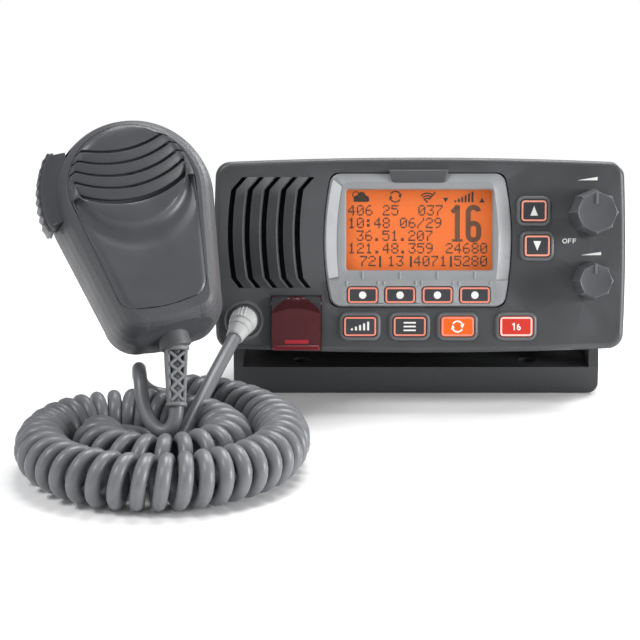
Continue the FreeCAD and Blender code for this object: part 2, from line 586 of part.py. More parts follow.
def build_distress():
    nose = hinge_bar(NOSE_R, 0).common(box(COVER_LEFT, COVER_RIGHT, -COVER_PROUD, HINGE_DEPTH, HINGE_Z,
                                           HINGE_Z + NOSE_R))
    web = box(COVER_LEFT, COVER_RIGHT, -COVER_PROUD, HINGE_DEPTH, HINGE_Z - HINGE_BARREL_R, HINGE_Z)
    plate = box(COVER_LEFT, COVER_RIGHT, -COVER_PROUD, -COVER_PROUD + COVER_THICK, COVER_BOTTOM,
                HINGE_Z)
    cheeks = [box(x, x + 1.2, -COVER_PROUD, 1.4, COVER_BOTTOM + 4, HINGE_Z - 3)
              for x in (COVER_LEFT, COVER_RIGHT - 1.2)]
    lip = box(COVER_LEFT + 3, COVER_RIGHT - 3, -COVER_PROUD - 1.4, -COVER_PROUD + 1,
              COVER_BOTTOM, COVER_BOTTOM + 2.2)
    cover = fuse([plate, nose, web, hinge_bar(HINGE_BARREL_R, 0), lip] + cheeks)
    parts["distress_cover"] = radio_place(cover.cut(hinge_bar(HINGE_PIN_R + RUN_CLEAR, 0)))
    parts["distress_hinge_pin"] = radio_place(hinge_bar(HINGE_PIN_R, COVER_CLEAR + PIN_GRIP))
    x = cover_middle()
    cap = along_y(BUTTON_R, x, BUTTON_Z, 0.3, PLATE + KEY_CLEAR)
    flange = along_y(BUTTON_R + KEY_FLANGE, x, BUTTON_Z, PLATE + KEY_CLEAR, PLATE + KEY_CLEAR + 0.8)
    parts["distress_button"] = radio_place(cap.fuse(flange))


def plug_exit():
    return V(SOCKET_X, -PLUG_HEAD_OUT, SOCKET_Z) + PLUG_AIM * PLUG_NECK


def build_mic_socket():
    socket = along_y(SOCKET_R, SOCKET_X, SOCKET_Z, -0.6, SOCKET_DEPTH)
    bore = along_y(SOCKET_BORE_R, SOCKET_X, SOCKET_Z, -1, SOCKET_DEPTH - 1.5)
    parts["mic_socket"] = radio_place(socket.cut(bore))
    head_at = V(SOCKET_X, -PLUG_HEAD_OUT, SOCKET_Z)
    shank = along_y(SOCKET_BORE_R, SOCKET_X, SOCKET_Z, -PLUG_HEAD_OUT, SOCKET_DEPTH - 2.5)
    skirt = along_y(PLUG_HEAD_R, SOCKET_X, SOCKET_Z, -PLUG_HEAD_OUT, -0.8)
    ball = Part.makeSphere(PLUG_HEAD_R, head_at)
    neck = cone(PLUG_HEAD_R - 0.3, CORD_R + 0.9, PLUG_NECK, head_at, PLUG_AIM)
    parts["mic_plug"] = radio_place(fuse([shank, skirt, ball, neck]))


# ======== chassis ============================================================================
def chassis_block(grow, front, back):
    width = CHASSIS_W + 2 * grow
    height = CHASSIS_TOP - CHASSIS_BOTTOM + 2 * grow
    return rounded_block(0, (CHASSIS_TOP + CHASSIS_BOTTOM) / 2.0, width, height,
                         CHASSIS_CORNER + grow, front, back)


FLANGE_FRONT = PANEL_DEPTH + GASKET_THICK
FLANGE_BACK = FLANGE_FRONT + FLANGE_DEPTH
SINK_BACK = CHASSIS_BACK + SINK_PLATE


def flange_outline(front, back):
    return bowed_block(0, 0, PANEL_W - 2 * FLANGE_INSET, PANEL_H - 2 * FLANGE_INSET, PANEL_BOW,
                       PANEL_SIDE_BOW, PANEL_CORNER - FLANGE_INSET, front, back)


def sink_screw_spots():
    x = CHASSIS_W / 2.0 - 6.0
    return [(sx * x, z) for sx in (-1, 1) for z in (CHASSIS_BOTTOM + 7.0, CHASSIS_TOP - 6.5)]


def main_board_posts():
    x = CHASSIS_W / 2.0 - CHASSIS_WALL - MAIN_BOARD_MARGIN - BOARD_POST_IN
    return [(sx * x, y) for sx in (-1, 1)
            for y in (FLANGE_BACK + BOARD_POST_FRONT, CHASSIS_BACK - BOARD_POST_REAR)]


def build_chassis():
    flange = flange_outline(FLANGE_FRONT, FLANGE_BACK)
    shell = chassis_block(0, FLANGE_FRONT, CHASSIS_BACK)
    cavity = chassis_block(-CHASSIS_WALL, FLANGE_FRONT - 1, CHASSIS_BACK + 1)
    body = flange.fuse(shell).cut(cavity)
    half = CHASSIS_W / 2.0
    floor_z = CHASSIS_BOTTOM + CHASSIS_WALL
    extras = []
    for side in (-1, 1):
        start = V(side * (half - 0.5), PIVOT_DEPTH, 0)
        extras.append(cylinder(PIVOT_BOSS_R, PIVOT_BOSS_LENGTH - 0.5, start, V(-side, 0, 0)))
    for x, y in main_board_posts():
        extras.append(cylinder(POST_R, POST_HEIGHT + 0.5, V(x, y, floor_z - 0.5), V(0, 0, 1)))
    for x, z in sink_screw_spots():
        extras.append(along_y(3.6, x, z, CHASSIS_BACK - 12, CHASSIS_BACK))
    body = fuse([body] + extras)
    tools = []
    for side in (-1, 1):
        start = V(side * (half + 1), PIVOT_DEPTH, 0)
        tools.append(cylinder(STUD_R + RUN_CLEAR, STUD_IN + 1.5, start, V(-side, 0, 0)))
    tools += [along_y(SCREW_R, x, z, FLANGE_FRONT - 1, FLANGE_BACK + 1) for x, z in screw_spots()]
    tools += [cylinder(SCREW_R, POST_HEIGHT, V(x, y, floor_z + 1), V(0, 0, 1))
              for x, y in main_board_posts()]
    tools += [along_y(SCREW_R, x, z, CHASSIS_BACK - 9, CHASSIS_BACK + 1) for x, z in sink_screw_spots()]
    parts["chassis"] = radio_place(cut(body, *tools))
    inside = bowed_block(0, 0, PANEL_W - 2 * PANEL_WALL, PANEL_H - 2 * PANEL_WALL, PANEL_BOW,
                         PANEL_SIDE_BOW, PANEL_CORNER - PANEL_WALL, PANEL_DEPTH - 1, FLANGE_FRONT + 1)
    gasket = flange_outline(PANEL_DEPTH, FLANGE_FRONT).cut(inside)
    for x, z in screw_spots():
        gasket = gasket.cut(along_y(BOSS_R, x, z, PANEL_DEPTH - 1, FLANGE_FRONT + 1))
    parts["panel_gasket"] = radio_place(gasket)


def build_main_board():
    half = CHASSIS_W / 2.0 - CHASSIS_WALL - MAIN_BOARD_MARGIN
    low = CHASSIS_BOTTOM + CHASSIS_WALL + POST_HEIGHT
    y0, y1 = FLANGE_BACK + BOARD_FRONT_ROOM, CHASSIS_BACK - BOARD_REAR_ROOM
    board = box(-half, half, y0, y1, low, low + BOARD_THICK)
    top = low + BOARD_THICK
    lumps = []
    for side, inset, width, front, back, height in BOARD_BLOCKS:
        left, right = sorted((side * (half - inset), side * (half - inset - width)))
        lumps.append(box(left, right, y0 + front, y0 + back, top, top + height))
    board = fuse([board] + lumps)
    for x, y in main_board_posts():
        board = board.cut(cylinder(SCREW_R, BOARD_THICK + 2, V(x, y, low - 1), V(0, 0, 1)))
    parts["main_board"] = radio_place(board)


def build_heatsink():
    middle = (CHASSIS_TOP + CHASSIS_BOTTOM) / 2.0
    height = CHASSIS_TOP - CHASSIS_BOTTOM - 2 * SINK_INSET
    plate = rounded_block(0, middle, CHASSIS_W - 2 * SINK_INSET, height, CHASSIS_CORNER - SINK_INSET,
                          CHASSIS_BACK, SINK_BACK)
    fins = []
    for i in range(FIN_COUNT):
        x = (i - (FIN_COUNT - 1) / 2.0) * FIN_PITCH
        fins.append(box(x - FIN_THICK / 2.0, x + FIN_THICK / 2.0, SINK_BACK - 0.5,
                        SINK_BACK + FIN_DEPTH, middle - height / 2.0 + 1, middle + height / 2.0 - 1))
    sink = fuse([plate] + fins)
    tools = [along_y(SCREW_R, x, z, CHASSIS_BACK - 1, SINK_BACK + 1) for x, z in sink_screw_spots()]
    tools.append(along_y(GLAND_R, GLAND_X, GLAND_Z, CHASSIS_BACK - 1, SINK_BACK + 1))
    tools.append(along_y(INSULATOR_R, ANTENNA_X, ANTENNA_Z, CHASSIS_BACK - 1, SINK_BACK + 1))
    parts["rear_heatsink"] = radio_place(cut(sink, *tools))
    flange = rounded_block(ANTENNA_X, ANTENNA_Z, ANTENNA_FLANGE, ANTENNA_FLANGE, 1.5, SINK_BACK,
                           SINK_BACK + ANTENNA_FLANGE_THICK)
    end = SINK_BACK + ANTENNA_FLANGE_THICK + ANTENNA_LENGTH
    barrel = along_y(ANTENNA_R, ANTENNA_X, ANTENNA_Z, SINK_BACK, end)
    core = along_y(INSULATOR_R, ANTENNA_X, ANTENNA_Z, SINK_BACK - 1, end + 1)
    parts["antenna_socket"] = radio_place(flange.fuse(barrel).cut(core))
    insulator = along_y(INSULATOR_R, ANTENNA_X, ANTENNA_Z, CHASSIS_BACK - 3, end - 2.0)
    contact = along_y(CONTACT_R, ANTENNA_X, ANTENNA_Z, SINK_BACK, end)
    parts["antenna_insulator"] = radio_place(insulator.cut(contact))
    gland = fuse([along_y(GLAND_R, GLAND_X, GLAND_Z, CHASSIS_BACK - 2, SINK_BACK),
                  along_y(GLAND_COLLAR_R, GLAND_X, GLAND_Z, SINK_BACK, SINK_BACK + 3),
                  cone(GLAND_R + 0.8, GLAND_BORE_R + 1.4, 9.0, V(GLAND_X, SINK_BACK + 3, GLAND_Z),
                       V(0, 1, 0))])
    bore = along_y(GLAND_BORE_R, GLAND_X, GLAND_Z, CHASSIS_BACK, SINK_BACK + 13)
    parts["power_gland"] = radio_place(gland.cut(bore))


def screw(at, axis, length):
    """Pan-head screw: the head's underside is at the given point, the shank runs along axis."""
    head = cylinder(SCREW_HEAD_R, SCREW_HEAD, at, axis * -1)
    socket = cylinder(SCREW_R * 0.7, SCREW_HEAD * 0.6, at - axis * (SCREW_HEAD * 0.4), axis * -1)
    return head.fuse(cylinder(SCREW_R, length, at, axis)).cut(socket)


def build_screws():
    front = V(0, -1, 0)
    panel = [screw(V(x, FLANGE_BACK, z), front, FLANGE_BACK - PLATE - 1.5) for x, z in screw_spots()]
    parts["panel_screws"] = radio_place(Part.makeCompound(panel))
    board = [screw(V(x, BOARD_FRONT + BOARD_THICK, z), front, 4.5) for x, z in board_screw_spots()]
    top = CHASSIS_BOTTOM + CHASSIS_WALL + POST_HEIGHT + BOARD_THICK
    board += [screw(V(x, y, top), V(0, 0, -1), 6.5) for x, y in main_board_posts()]
    parts["board_screws"] = radio_place(Part.makeCompound(board))
    sink = [screw(V(x, SINK_BACK, z), front, SINK_PLATE + 8.0) for x, z in sink_screw_spots()]
    parts["heatsink_screws"] = radio_place(Part.makeCompound(sink))


# ======== bracket ============================================================================
def arm_profile(x):
    """Outline of one arm seen from the side, from the foot up round the pivot."""
    r = ARM_TOP_R
    a, b = V(x, FOOT_FRONT, 0), V(x, FOOT_REAR, 0)
    front_top, rear_top = V(x, FOOT_FRONT, FOOT_HIGH), V(x, FOOT_REAR, FOOT_LOW)

    def tangent(point, side):
        """Where a line from the point touches the round top, on the given side."""
        dy, dz = point.y, point.z - PIVOT_Z
        far = math.hypot(dy, dz)
        base = math.atan2(dz, dy)
        swing = math.acos(r / far) * side
        return V(x, r * math.cos(base + swing), PIVOT_Z + r * math.sin(base + swing))

    t_front, t_rear = tangent(front_top, -1), tangent(rear_top, 1)
    crown = V(x, 0, PIVOT_Z + r)
    edges = [Part.makeLine(a, b), Part.makeLine(b, rear_top), Part.makeLine(rear_top, t_rear),
             Part.Arc(t_rear, crown, t_front).toShape(), Part.makeLine(t_front, front_top),
             Part.makeLine(front_top, a)]
    return Part.Face(Part.Wire(edges))


def bolt_spots():
    return [(sx * BOLT_X, y) for sx in (-1, 1) for y in (BOLT_FRONT, BOLT_REAR)]


def build_bracket():
    half = BRACKET_W / 2.0
    foot = box(-half, half, FOOT_FRONT, FOOT_STEP, 0, FOOT_HIGH)
    foot = foot.fuse(box(-half, half, FOOT_STEP, FOOT_REAR, 0, FOOT_LOW))
    arms = [arm_profile(-half).extrude(V(ARM_THICK, 0, 0)),
            arm_profile(half - ARM_THICK).extrude(V(ARM_THICK, 0, 0))]
    bracket = fuse([foot] + arms)

    def lower_corner(edge):
        box_ = edge.BoundBox
        return (abs(box_.ZMax) < 1e-4 and abs(abs(box_.Center.x) - half) < 1e-4
                and box_.YLength > 10)

    bracket = fillet_if(bracket, FOOT_CORNER, lower_corner)
    # pockets under the foot leave an outer wall, a rib on the centre line and ribs at the pitch
    rows = ((FOOT_FRONT + RIB, CROSS_RIB_FRONT, FOOT_HIGH - RIB),
            (CROSS_RIB_REAR, FOOT_STEP - RIB, FOOT_HIGH - RIB),
            (FOOT_STEP, FOOT_REAR - RIB, FOOT_LOW - FOOT_LOW_SKIN))
    count = int((half - RIB) // RIB_PITCH)
    tools = []
    for side in (-1, 1):
        for i in range(count):
            x0 = RIB / 2.0 + i * RIB_PITCH
            x1 = min(x0 + RIB_PITCH - RIB, half - RIB - FOOT_CORNER)
            left, right = sorted((side * x0, side * x1))
            for y0, y1, top in rows:
                tools.append(box(left, right, y0, y1, -1, top))
    pads = []
    for x, y in bolt_spots():
        top = FOOT_LOW if y > FOOT_STEP else FOOT_HIGH
        pads.append(cylinder(BOLT_PAD_R, top - 0.2, V(x, y, 0), V(0, 0, 1)))
    pocketed = fuse([cut(bracket, *tools)] + pads)
    holes = [cylinder(BOLT_R, FOOT_HIGH + 2, V(x, y, -1), V(0, 0, 1)) for x, y in bolt_spots()]
    pivot = cylinder(STUD_R + RUN_CLEAR, BRACKET_W + 2, V(-half - 1, 0, PIVOT_Z), V(1, 0, 0))
    parts["mounting_bracket"] = cut(pocketed, pivot, *holes)


def build_clamps():
    half = BRACKET_W / 2.0
    washers = []
    for side, name in ((-1, "left"), (1, "right")):
        out = V(side, 0, 0)
        face = V(side * CHASSIS_W / 2.0, 0, PIVOT_Z)
        washer = cylinder(WASHER_R, WASHER_THICK, face, out)
        washers.append(washer.cut(cylinder(STUD_R + RUN_CLEAR, WASHER_THICK, face, out)))
        under = HANGER_THICK if side < 0 else 0.0
        at = V(side * (half + under), 0, PIVOT_Z)
        knob = lobed_knob(CLAMP_R, CLAMP_THICK, CLAMP_LOBES, 4.0, 1.6, at, out, 1.0)
        knob = knob.cut(cylinder(STUD_R, CLAMP_THICK - 2.0, at, out))
        parts[name + "_clamp_knob"] = knob
        tip = CHASSIS_W / 2.0 - STUD_IN
        parts[name + "_clamp_stud"] = cylinder(STUD_R, half + under + CLAMP_THICK - 2.0 - tip,
                                               V(side * tip, 0, PIVOT_Z), out)
    parts["friction_washers"] = Part.makeCompound(washers)


# ======== microphone =========================================================================
def egg_outline(r, top_z, foot, foot_z, corner, low, depth):
    """Closed wire in the plane y = depth: a round top, straight flanks down to the foot's half
    width at foot_z, and rounded lower corners."""
    # the straight flank touches the top circle and passes the foot's half width at its height
    dx, dz = foot, foot_z - top_z
    far = math.hypot(dx, dz)
    swing = math.atan2(dz, dx) + math.acos(r / far)
    t = V(r * math.cos(swing), depth, top_z + r * math.sin(swing))
    f = V(foot, depth, foot_z)
    lift = MIC_LOW_BOW
    c = V(foot - corner * 0.9, depth, low + lift)
    mid = V(foot - corner * 0.22, depth, low + lift + (foot_z - low - lift) * 0.36)

    def mirrored(p):
        return V(-p.x, p.y, p.z)

    return Part.Wire([Part.makeLine(f, t), Part.Arc(t, V(0, depth, top_z + r), mirrored(t)).toShape(),
                      Part.makeLine(mirrored(t), mirrored(f)),
                      Part.Arc(mirrored(f), mirrored(mid), mirrored(c)).toShape(),
                      Part.Arc(mirrored(c), V(0, depth, low), c).toShape(),
                      Part.Arc(c, mid, f).toShape()])


def mic_outline(inset, depth):
    """The microphone's outline, drawn in by inset."""
    return egg_outline(MIC_R - inset, MIC_TOP_Z, MIC_FOOT_HALF - inset, MIC_FOOT_Z,
                       max(MIC_FOOT_CORNER - inset, MIC_LEAST_CORNER), MIC_FOOT_LOW + inset, depth)


def plate_block(inset, front, back):
    """The face plate's outline, drawn in by inset, as a block."""
    wire = egg_outline(PLATE_R - inset, PLATE_TOP_Z, PLATE_FOOT_HALF - inset, PLATE_FOOT_Z,
                       PLATE_CORNER - inset, PLATE_LOW + inset, front)
    block = Part.Face(wire).extrude(V(0, back - front, 0))
    block.translate(V(PLATE_X, 0, 0))
    return block


def mic_block(inset, front, back):
    return Part.Face(mic_outline(inset, front)).extrude(V(0, back - front, 0))


def mic_loft(levels):
    """A body through outlines given as (inset, depth)."""
    return Part.makeLoft([mic_outline(inset, depth) for inset, depth in levels], True, True)


def ledge_tool(index):
    """A smile-shaped step across the top of the face plate."""
    z = LEDGE_TOP - index * LEDGE_PITCH
    centre = V(0, 0, z + LEDGE_R)
    front = -MIC_FRONT - 1
    ring = cylinder(LEDGE_R, LEDGE_DEPTH + 1, V(centre.x, front, centre.z), V(0, 1, 0))
    ring = ring.cut(cylinder(LEDGE_R - LEDGE_CUT, LEDGE_DEPTH + 1, V(centre.x, front, centre.z), V(0, 1, 0)))
    return ring.common(plate_block(1.6, front, front + LEDGE_DEPTH + 1))


def mic_screw_spots():
    return [(side * x, z) for x, z in MIC_SCREWS for side in (-1, 1)]


def build_microphone():
    face = -MIC_FRONT
    front = mic_loft([(inset, face + depth) for inset, depth in MIC_FRONT_ROUND] + [(0, MIC_SPLIT)])
    hollow = mic_block(MIC_HOLLOW_IN, face + MIC_WALL + PLATE_THICK, MIC_SPLIT + 1)
    seat = plate_block(-PLATE_SEAT_AIR, face - 1, face + PLATE_THICK)
    half_w, half_l = PTT_WIDTH / 2.0, PTT_LENGTH / 2.0
    button_hole = box(-MIC_R - BEYOND, PTT_HOLE_IN - MIC_R, -half_w - PTT_AIR, half_w + PTT_AIR,
                      PTT_Z - half_l - PTT_AIR, PTT_Z + half_l + PTT_AIR)
    collar_hole = cylinder(COLLAR_R, BEYOND + COLLAR_HIGH, V(0, 0, -BEYOND), V(0, 0, 1))
    line = [V(-MIC_R, y, z) for y, z in MIC_UNDERSIDE]
    below = [V(-MIC_R, MIC_UNDERSIDE[-1][0], -BEYOND), V(-MIC_R, MIC_UNDERSIDE[0][0], -BEYOND)]
    underside = Part.Face(Part.makePolygon(line + below + line[:1])).extrude(V(2 * MIC_R, 0, 0))
    posts = [along_y(BOSS_R, x, z, face + PLATE_THICK, MIC_BACK - MIC_WALL) for x, z in mic_screw_spots()]
    bores = [along_y(SCREW_R, x, z, MIC_SPLIT - MIC_SCREW_GRIP, MIC_BACK + 1) for x, z in mic_screw_spots()]
    front_solid = mic_block(MIC_FRONT_ROUND[0][0], face + PLATE_THICK, MIC_SPLIT)
    front_posts = [post.common(front_solid) for post in posts]
    front = fuse([cut(front, hollow, seat)] + front_posts)
    parts["mic_front_shell"] = mic_place(cut(front, collar_hole, button_hole, underside, *bores))
    rear = mic_loft([(0, MIC_SPLIT), (0, MIC_BACK - MIC_BACK_ROUND),
                     (MIC_BACK_ROUND * 0.35, MIC_BACK - MIC_BACK_ROUND * 0.3), (MIC_BACK_ROUND, MIC_BACK)])
    rear_hollow = mic_block(MIC_WALL + MIC_BACK_ROUND * 0.5, MIC_SPLIT - 1, MIC_BACK - MIC_WALL)
    stud_hole = along_y(HANGER_STUD_SHANK, 0, STUD_Z, MIC_SPLIT, MIC_BACK + 1)
    rear_posts = [along_y(BOSS_R, x, z, MIC_SPLIT, MIC_BACK - MIC_WALL / 2.0) for x, z in mic_screw_spots()]
    rear = fuse([rear.cut(rear_hollow)] + rear_posts)
    parts["mic_rear_shell"] = mic_place(cut(rear, collar_hole, button_hole, stud_hole, *bores))
    plate = plate_block(0, face - PLATE_PROUD, face + PLATE_THICK)
    plate = fillet_if(plate, PLATE_PROUD - 0.05, in_plane_y(face - PLATE_PROUD))
    for i in range(LEDGE_COUNT):
        plate = plate.cut(ledge_tool(i))
    for x, z in MIC_HOLES:
        plate = plate.cut(along_y(MIC_HOLE_R, x, z, face - 1, face + PLATE_THICK + 1))
    parts["mic_face_plate"] = mic_place(plate)
    bar = box(-MIC_R - PTT_PROUD, PTT_IN - MIC_R, -half_w, half_w, PTT_Z - half_l, PTT_Z + half_l)
    crown = cylinder(PTT_LENGTH * 0.72, PTT_WIDTH,
                     V(PTT_LENGTH * 0.72 - MIC_R - PTT_PROUD, -half_w, PTT_Z), V(0, 1, 0))
    parts["mic_ptt_button"] = mic_place(bar.common(crown))
    board = mic_block(MIC_WALL + MIC_BOARD_EDGE, MIC_BOARD, MIC_BOARD + BOARD_THICK)
    room = MIC_BOARD_PTT_AIR
    keep_clear = box(-MIC_R - BEYOND, PTT_HOLE_IN - MIC_R, -BEYOND, BEYOND, PTT_Z - half_l - room,
                     PTT_Z + half_l + room)
    low_cut = box(-MIC_R, MIC_R, -BEYOND, BEYOND, -BEYOND, MIC_BOARD_LOW)
    stud_room = along_y(HANGER_STUD_NECK, 0, STUD_Z, MIC_BOARD - BOARD_THICK, MIC_BOARD + 2 * BOARD_THICK)
    board = cut(board, keep_clear, low_cut, stud_room, *posts)
    parts["mic_board"] = mic_place(board)
    capsule_x, capsule_z = CAPSULE_AT
    parts["mic_capsule"] = mic_place(along_y(CAPSULE_R, capsule_x, capsule_z, MIC_BOARD - CAPSULE_DEPTH,
                                             MIC_BOARD))
    screws = [screw(V(x, MIC_BACK, z), V(0, -1, 0), MIC_BACK - MIC_SPLIT + MIC_SCREW_GRIP)
              for x, z in mic_screw_spots()]
    parts["mic_screws"] = mic_place(Part.makeCompound(screws))


def build_mic_fittings():
    back = MIC_BACK
    neck_len = HANGER_AIR + HANGER_THICK + HANGER_AIR
    stud = fuse([along_y(HANGER_STUD_SHANK, 0, STUD_Z, MIC_SPLIT, back),
                 along_y(HANGER_STUD_NECK, 0, STUD_Z, back, back + neck_len),
                 along_y(HANGER_STUD_HEAD_R, 0, STUD_Z, back + neck_len,
                         back + neck_len + HANGER_STUD_HEAD)])
    parts["mic_hanger_stud"] = mic_place(stud)
    collar = cylinder(COLLAR_R, COLLAR_HIGH - COLLAR_LOW, V(0, 0, COLLAR_LOW), V(0, 0, 1))
    parts["mic_strain_relief"] = fuse([mic_place(collar), strain_relief()])


def relief_run():
    """Top of the strain relief and the way it points."""
    top = mic_point(V(0, 0, COLLAR_LOW + 1.0))
    return top, RELIEF_END - top


def strain_relief():
    """The tapered sleeve from the collar to where the cord leaves it."""
    top, run = relief_run()
    return cone(RELIEF_TOP_R, RELIEF_END_R, run.Length, top, run.normalize())


def build_hanger():
    near = MIC_BACK + HANGER_AIR
    far = near + HANGER_THICK
    plate = box(-HANGER_W / 2.0, HANGER_W / 2.0, near, far, HANGER_LOW, HANGER_TOP)
    plate = fillet_if(plate, 4.0, parallel_to(V(0, 1, 0)))
    slot_r = HANGER_STUD_NECK + SLOT_CLEAR
    slot = along_y(slot_r, 0, STUD_Z, near - 1, far + 1)
    slot = slot.fuse(box(-slot_r, slot_r, near - 1, far + 1, STUD_Z, HANGER_TOP + 1))
    plate = mic_place(plate.cut(slot))
    edge_x = HANGER_W / 2.0 - 2.0
    t = HANGER_THICK / 2.0
    low, high = STRAP_Z - STRAP_H / 2.0, STRAP_Z + STRAP_H / 2.0
    arm_x = -BRACKET_W / 2.0 - t

    def upright(x, y):
        return Part.makePolygon([V(x - t, y, low), V(x + t, y, low), V(x + t, y, high),
                                 V(x - t, y, high), V(x - t, y, low)])

    mid_z = (HANGER_LOW + HANGER_TOP) / 2.0 - 3.0
    corners = [(near, mid_z - STRAP_H / 2.0), (far, mid_z - STRAP_H / 2.0),
               (far, mid_z + STRAP_H / 2.0), (near, mid_z + STRAP_H / 2.0)]
    plate_end = Part.makePolygon([mic_point(V(edge_x, y, z)) for y, z in corners + corners[:1]])
    twist = Part.makeLoft([plate_end, upright(STRAP_X, STRAP_FRONT)], True, True)
    strap = box(STRAP_X - t, STRAP_X + t, STRAP_FRONT, JOG_FRONT, low, high)
    jog = Part.makeLoft([upright(STRAP_X, JOG_FRONT), upright(arm_x, JOG_REAR)], True, True)
    eye_at = V(arm_x - t, 0, PIVOT_Z)
    eye = cylinder(EYE_R, HANGER_THICK, eye_at, V(1, 0, 0))
    run = box(arm_x - t, arm_x + t, JOG_REAR, 0, low, high)
    tab = box(arm_x - t, arm_x + t + TAB_REACH, TAB_Y - t, TAB_Y + t, TAB_LOW, TAB_HIGH)
    tab = tab.fuse(box(arm_x - t, arm_x + t, TAB_Y - t, JOG_REAR + 1, TAB_LOW, low + 2))
    hole = cylinder(STUD_R + RUN_CLEAR, HANGER_THICK + 2, eye_at - V(1, 0, 0), V(1, 0, 0))
    parts["mic_hanger"] = fuse([plate, twist, strap, jog, run, eye, tab]).cut(hole)


# ======== curly cord =========================================================================
def ring_points():
    """The curly part's centre line: an inner round that opens at the back into an outer one."""
    first, last = ROUNDS[0][0], ROUNDS[-1][0]
    points = []
    for i in range(ROUND_STEPS + 1):
        angle = first + (last - first) * i / ROUND_STEPS
        for (a0, r0), (a1, r1) in zip(ROUNDS, ROUNDS[1:]):
            if a0 <= angle <= a1:
                radius = r0 + (r1 - r0) * (angle - a0) / (a1 - a0)
        a = math.radians(angle)
        points.append(V(RING_X + radius * math.cos(a), RING_Y + radius * math.sin(a), COIL_R + 0.2))
    return points


def bent_path(points):
    """Straight runs joined by tangent arcs, each as large as its two runs allow."""
    edges, radii = [], []
    at = points[0]
    for i in range(1, len(points) - 1):
        before, corner, after = points[i - 1], points[i], points[i + 1]
        u, w = (before - corner).normalize(), (after - corner).normalize()
        shorter = min((before - corner).Length, (after - corner).Length)
        half_turn = (math.pi - u.getAngle(w)) / 2.0
        reach = BEND_SHARE * shorter
        start, end = corner + u * reach, corner + w * reach
        radius = reach / math.tan(half_turn)
        centre_way = (u + w).normalize()
        centre = corner + centre_way * math.hypot(reach, radius)
        top = centre - centre_way * radius
        if (start - at).Length > 1e-4:
            edges.append(Part.makeLine(at, start))
        edges.append(Part.Arc(start, top, end).toShape())
        radii.append(radius)
        at = end
    edges.append(Part.makeLine(at, points[-1]))
    return Part.Wire(edges), radii


def tube(name, points, radius):
    path, radii = bent_path(points)
    way = (points[1] - points[0]).normalize()
    section = Part.Wire([Part.makeCircle(radius, points[0], way)])
    solid = path.makePipeShell([section], True, False)
    ideal = math.pi * radius ** 2 * path.Length
    print("%s: length %.1f, smallest bend radius %.1f, volume / section x length %.4f"
          % (name, path.Length, min(radii), abs(solid.Volume) / ideal))
    return solid


def build_cord():
    parts["curly_cord"] = tube("curly_cord", ring_points(), COIL_R)
    exit_point = radio_point(plug_exit())
    taut_end = radio_point(plug_exit() + PLUG_AIM * TAIL_STRAIGHT)
    parts["cord_radio_tail"] = tube("cord_radio_tail", [exit_point, taut_end] + RADIO_TAIL, CORD_R)
    first = RELIEF_END + relief_run()[1].normalize() * RELIEF_RUN
    parts["cord_mic_tail"] = tube("cord_mic_tail", [RELIEF_END, first] + MIC_TAIL, CORD_R)
    for name, points in (("radio", [exit_point, taut_end]), ("microphone", [RELIEF_END, first])):
        print(name, "end of the cord:", [tuple(round(c, 1) for c in p) for p in points])


# ======== build and export ===================================================================
build_front()
build_keys()
build_speaker()
build_knobs()
build_distress()
build_mic_socket()
build_chassis()
build_main_board()
build_heatsink()
build_screws()
build_bracket()
build_clamps()
build_microphone()
build_mic_fittings()
build_hanger()
build_cord()

os.makedirs("parts", exist_ok=True)
for name, shape in parts.items():
    solids = shape.Solids
    if not shape.isValid() or not solids:
        print("CHECK", name, "valid", shape.isValid(), "solids", len(solids))
    whole = solids[0] if len(solids) == 1 else Part.makeCompound(solids)
    whole.exportStep("parts/%s.step" % name)
print(len(parts), "sub-parts")
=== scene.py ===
"""Fixed-mount marine VHF radio with its fist microphone and curly cord, on a plain pale floor."""
import math

import bpy
import bmesh
from mathutils import Matrix, Vector
from mathutils.geometry import tessellate_polygon


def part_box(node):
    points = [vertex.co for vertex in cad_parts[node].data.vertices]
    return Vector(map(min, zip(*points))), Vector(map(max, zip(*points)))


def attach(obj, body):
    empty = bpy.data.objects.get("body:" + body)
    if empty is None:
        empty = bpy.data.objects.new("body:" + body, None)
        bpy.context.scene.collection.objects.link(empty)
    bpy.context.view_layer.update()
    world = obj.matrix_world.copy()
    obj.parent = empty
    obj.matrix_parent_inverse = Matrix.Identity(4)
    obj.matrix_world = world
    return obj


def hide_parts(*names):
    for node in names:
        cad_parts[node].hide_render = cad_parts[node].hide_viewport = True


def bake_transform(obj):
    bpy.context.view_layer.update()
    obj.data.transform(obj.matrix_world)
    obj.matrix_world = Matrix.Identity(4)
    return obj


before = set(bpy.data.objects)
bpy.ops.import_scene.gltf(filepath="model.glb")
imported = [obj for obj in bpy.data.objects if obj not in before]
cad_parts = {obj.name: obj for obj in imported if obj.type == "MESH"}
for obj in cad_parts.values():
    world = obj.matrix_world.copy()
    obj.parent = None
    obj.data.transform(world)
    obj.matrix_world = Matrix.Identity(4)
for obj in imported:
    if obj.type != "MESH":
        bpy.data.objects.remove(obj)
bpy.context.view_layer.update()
scene = bpy.context.scene

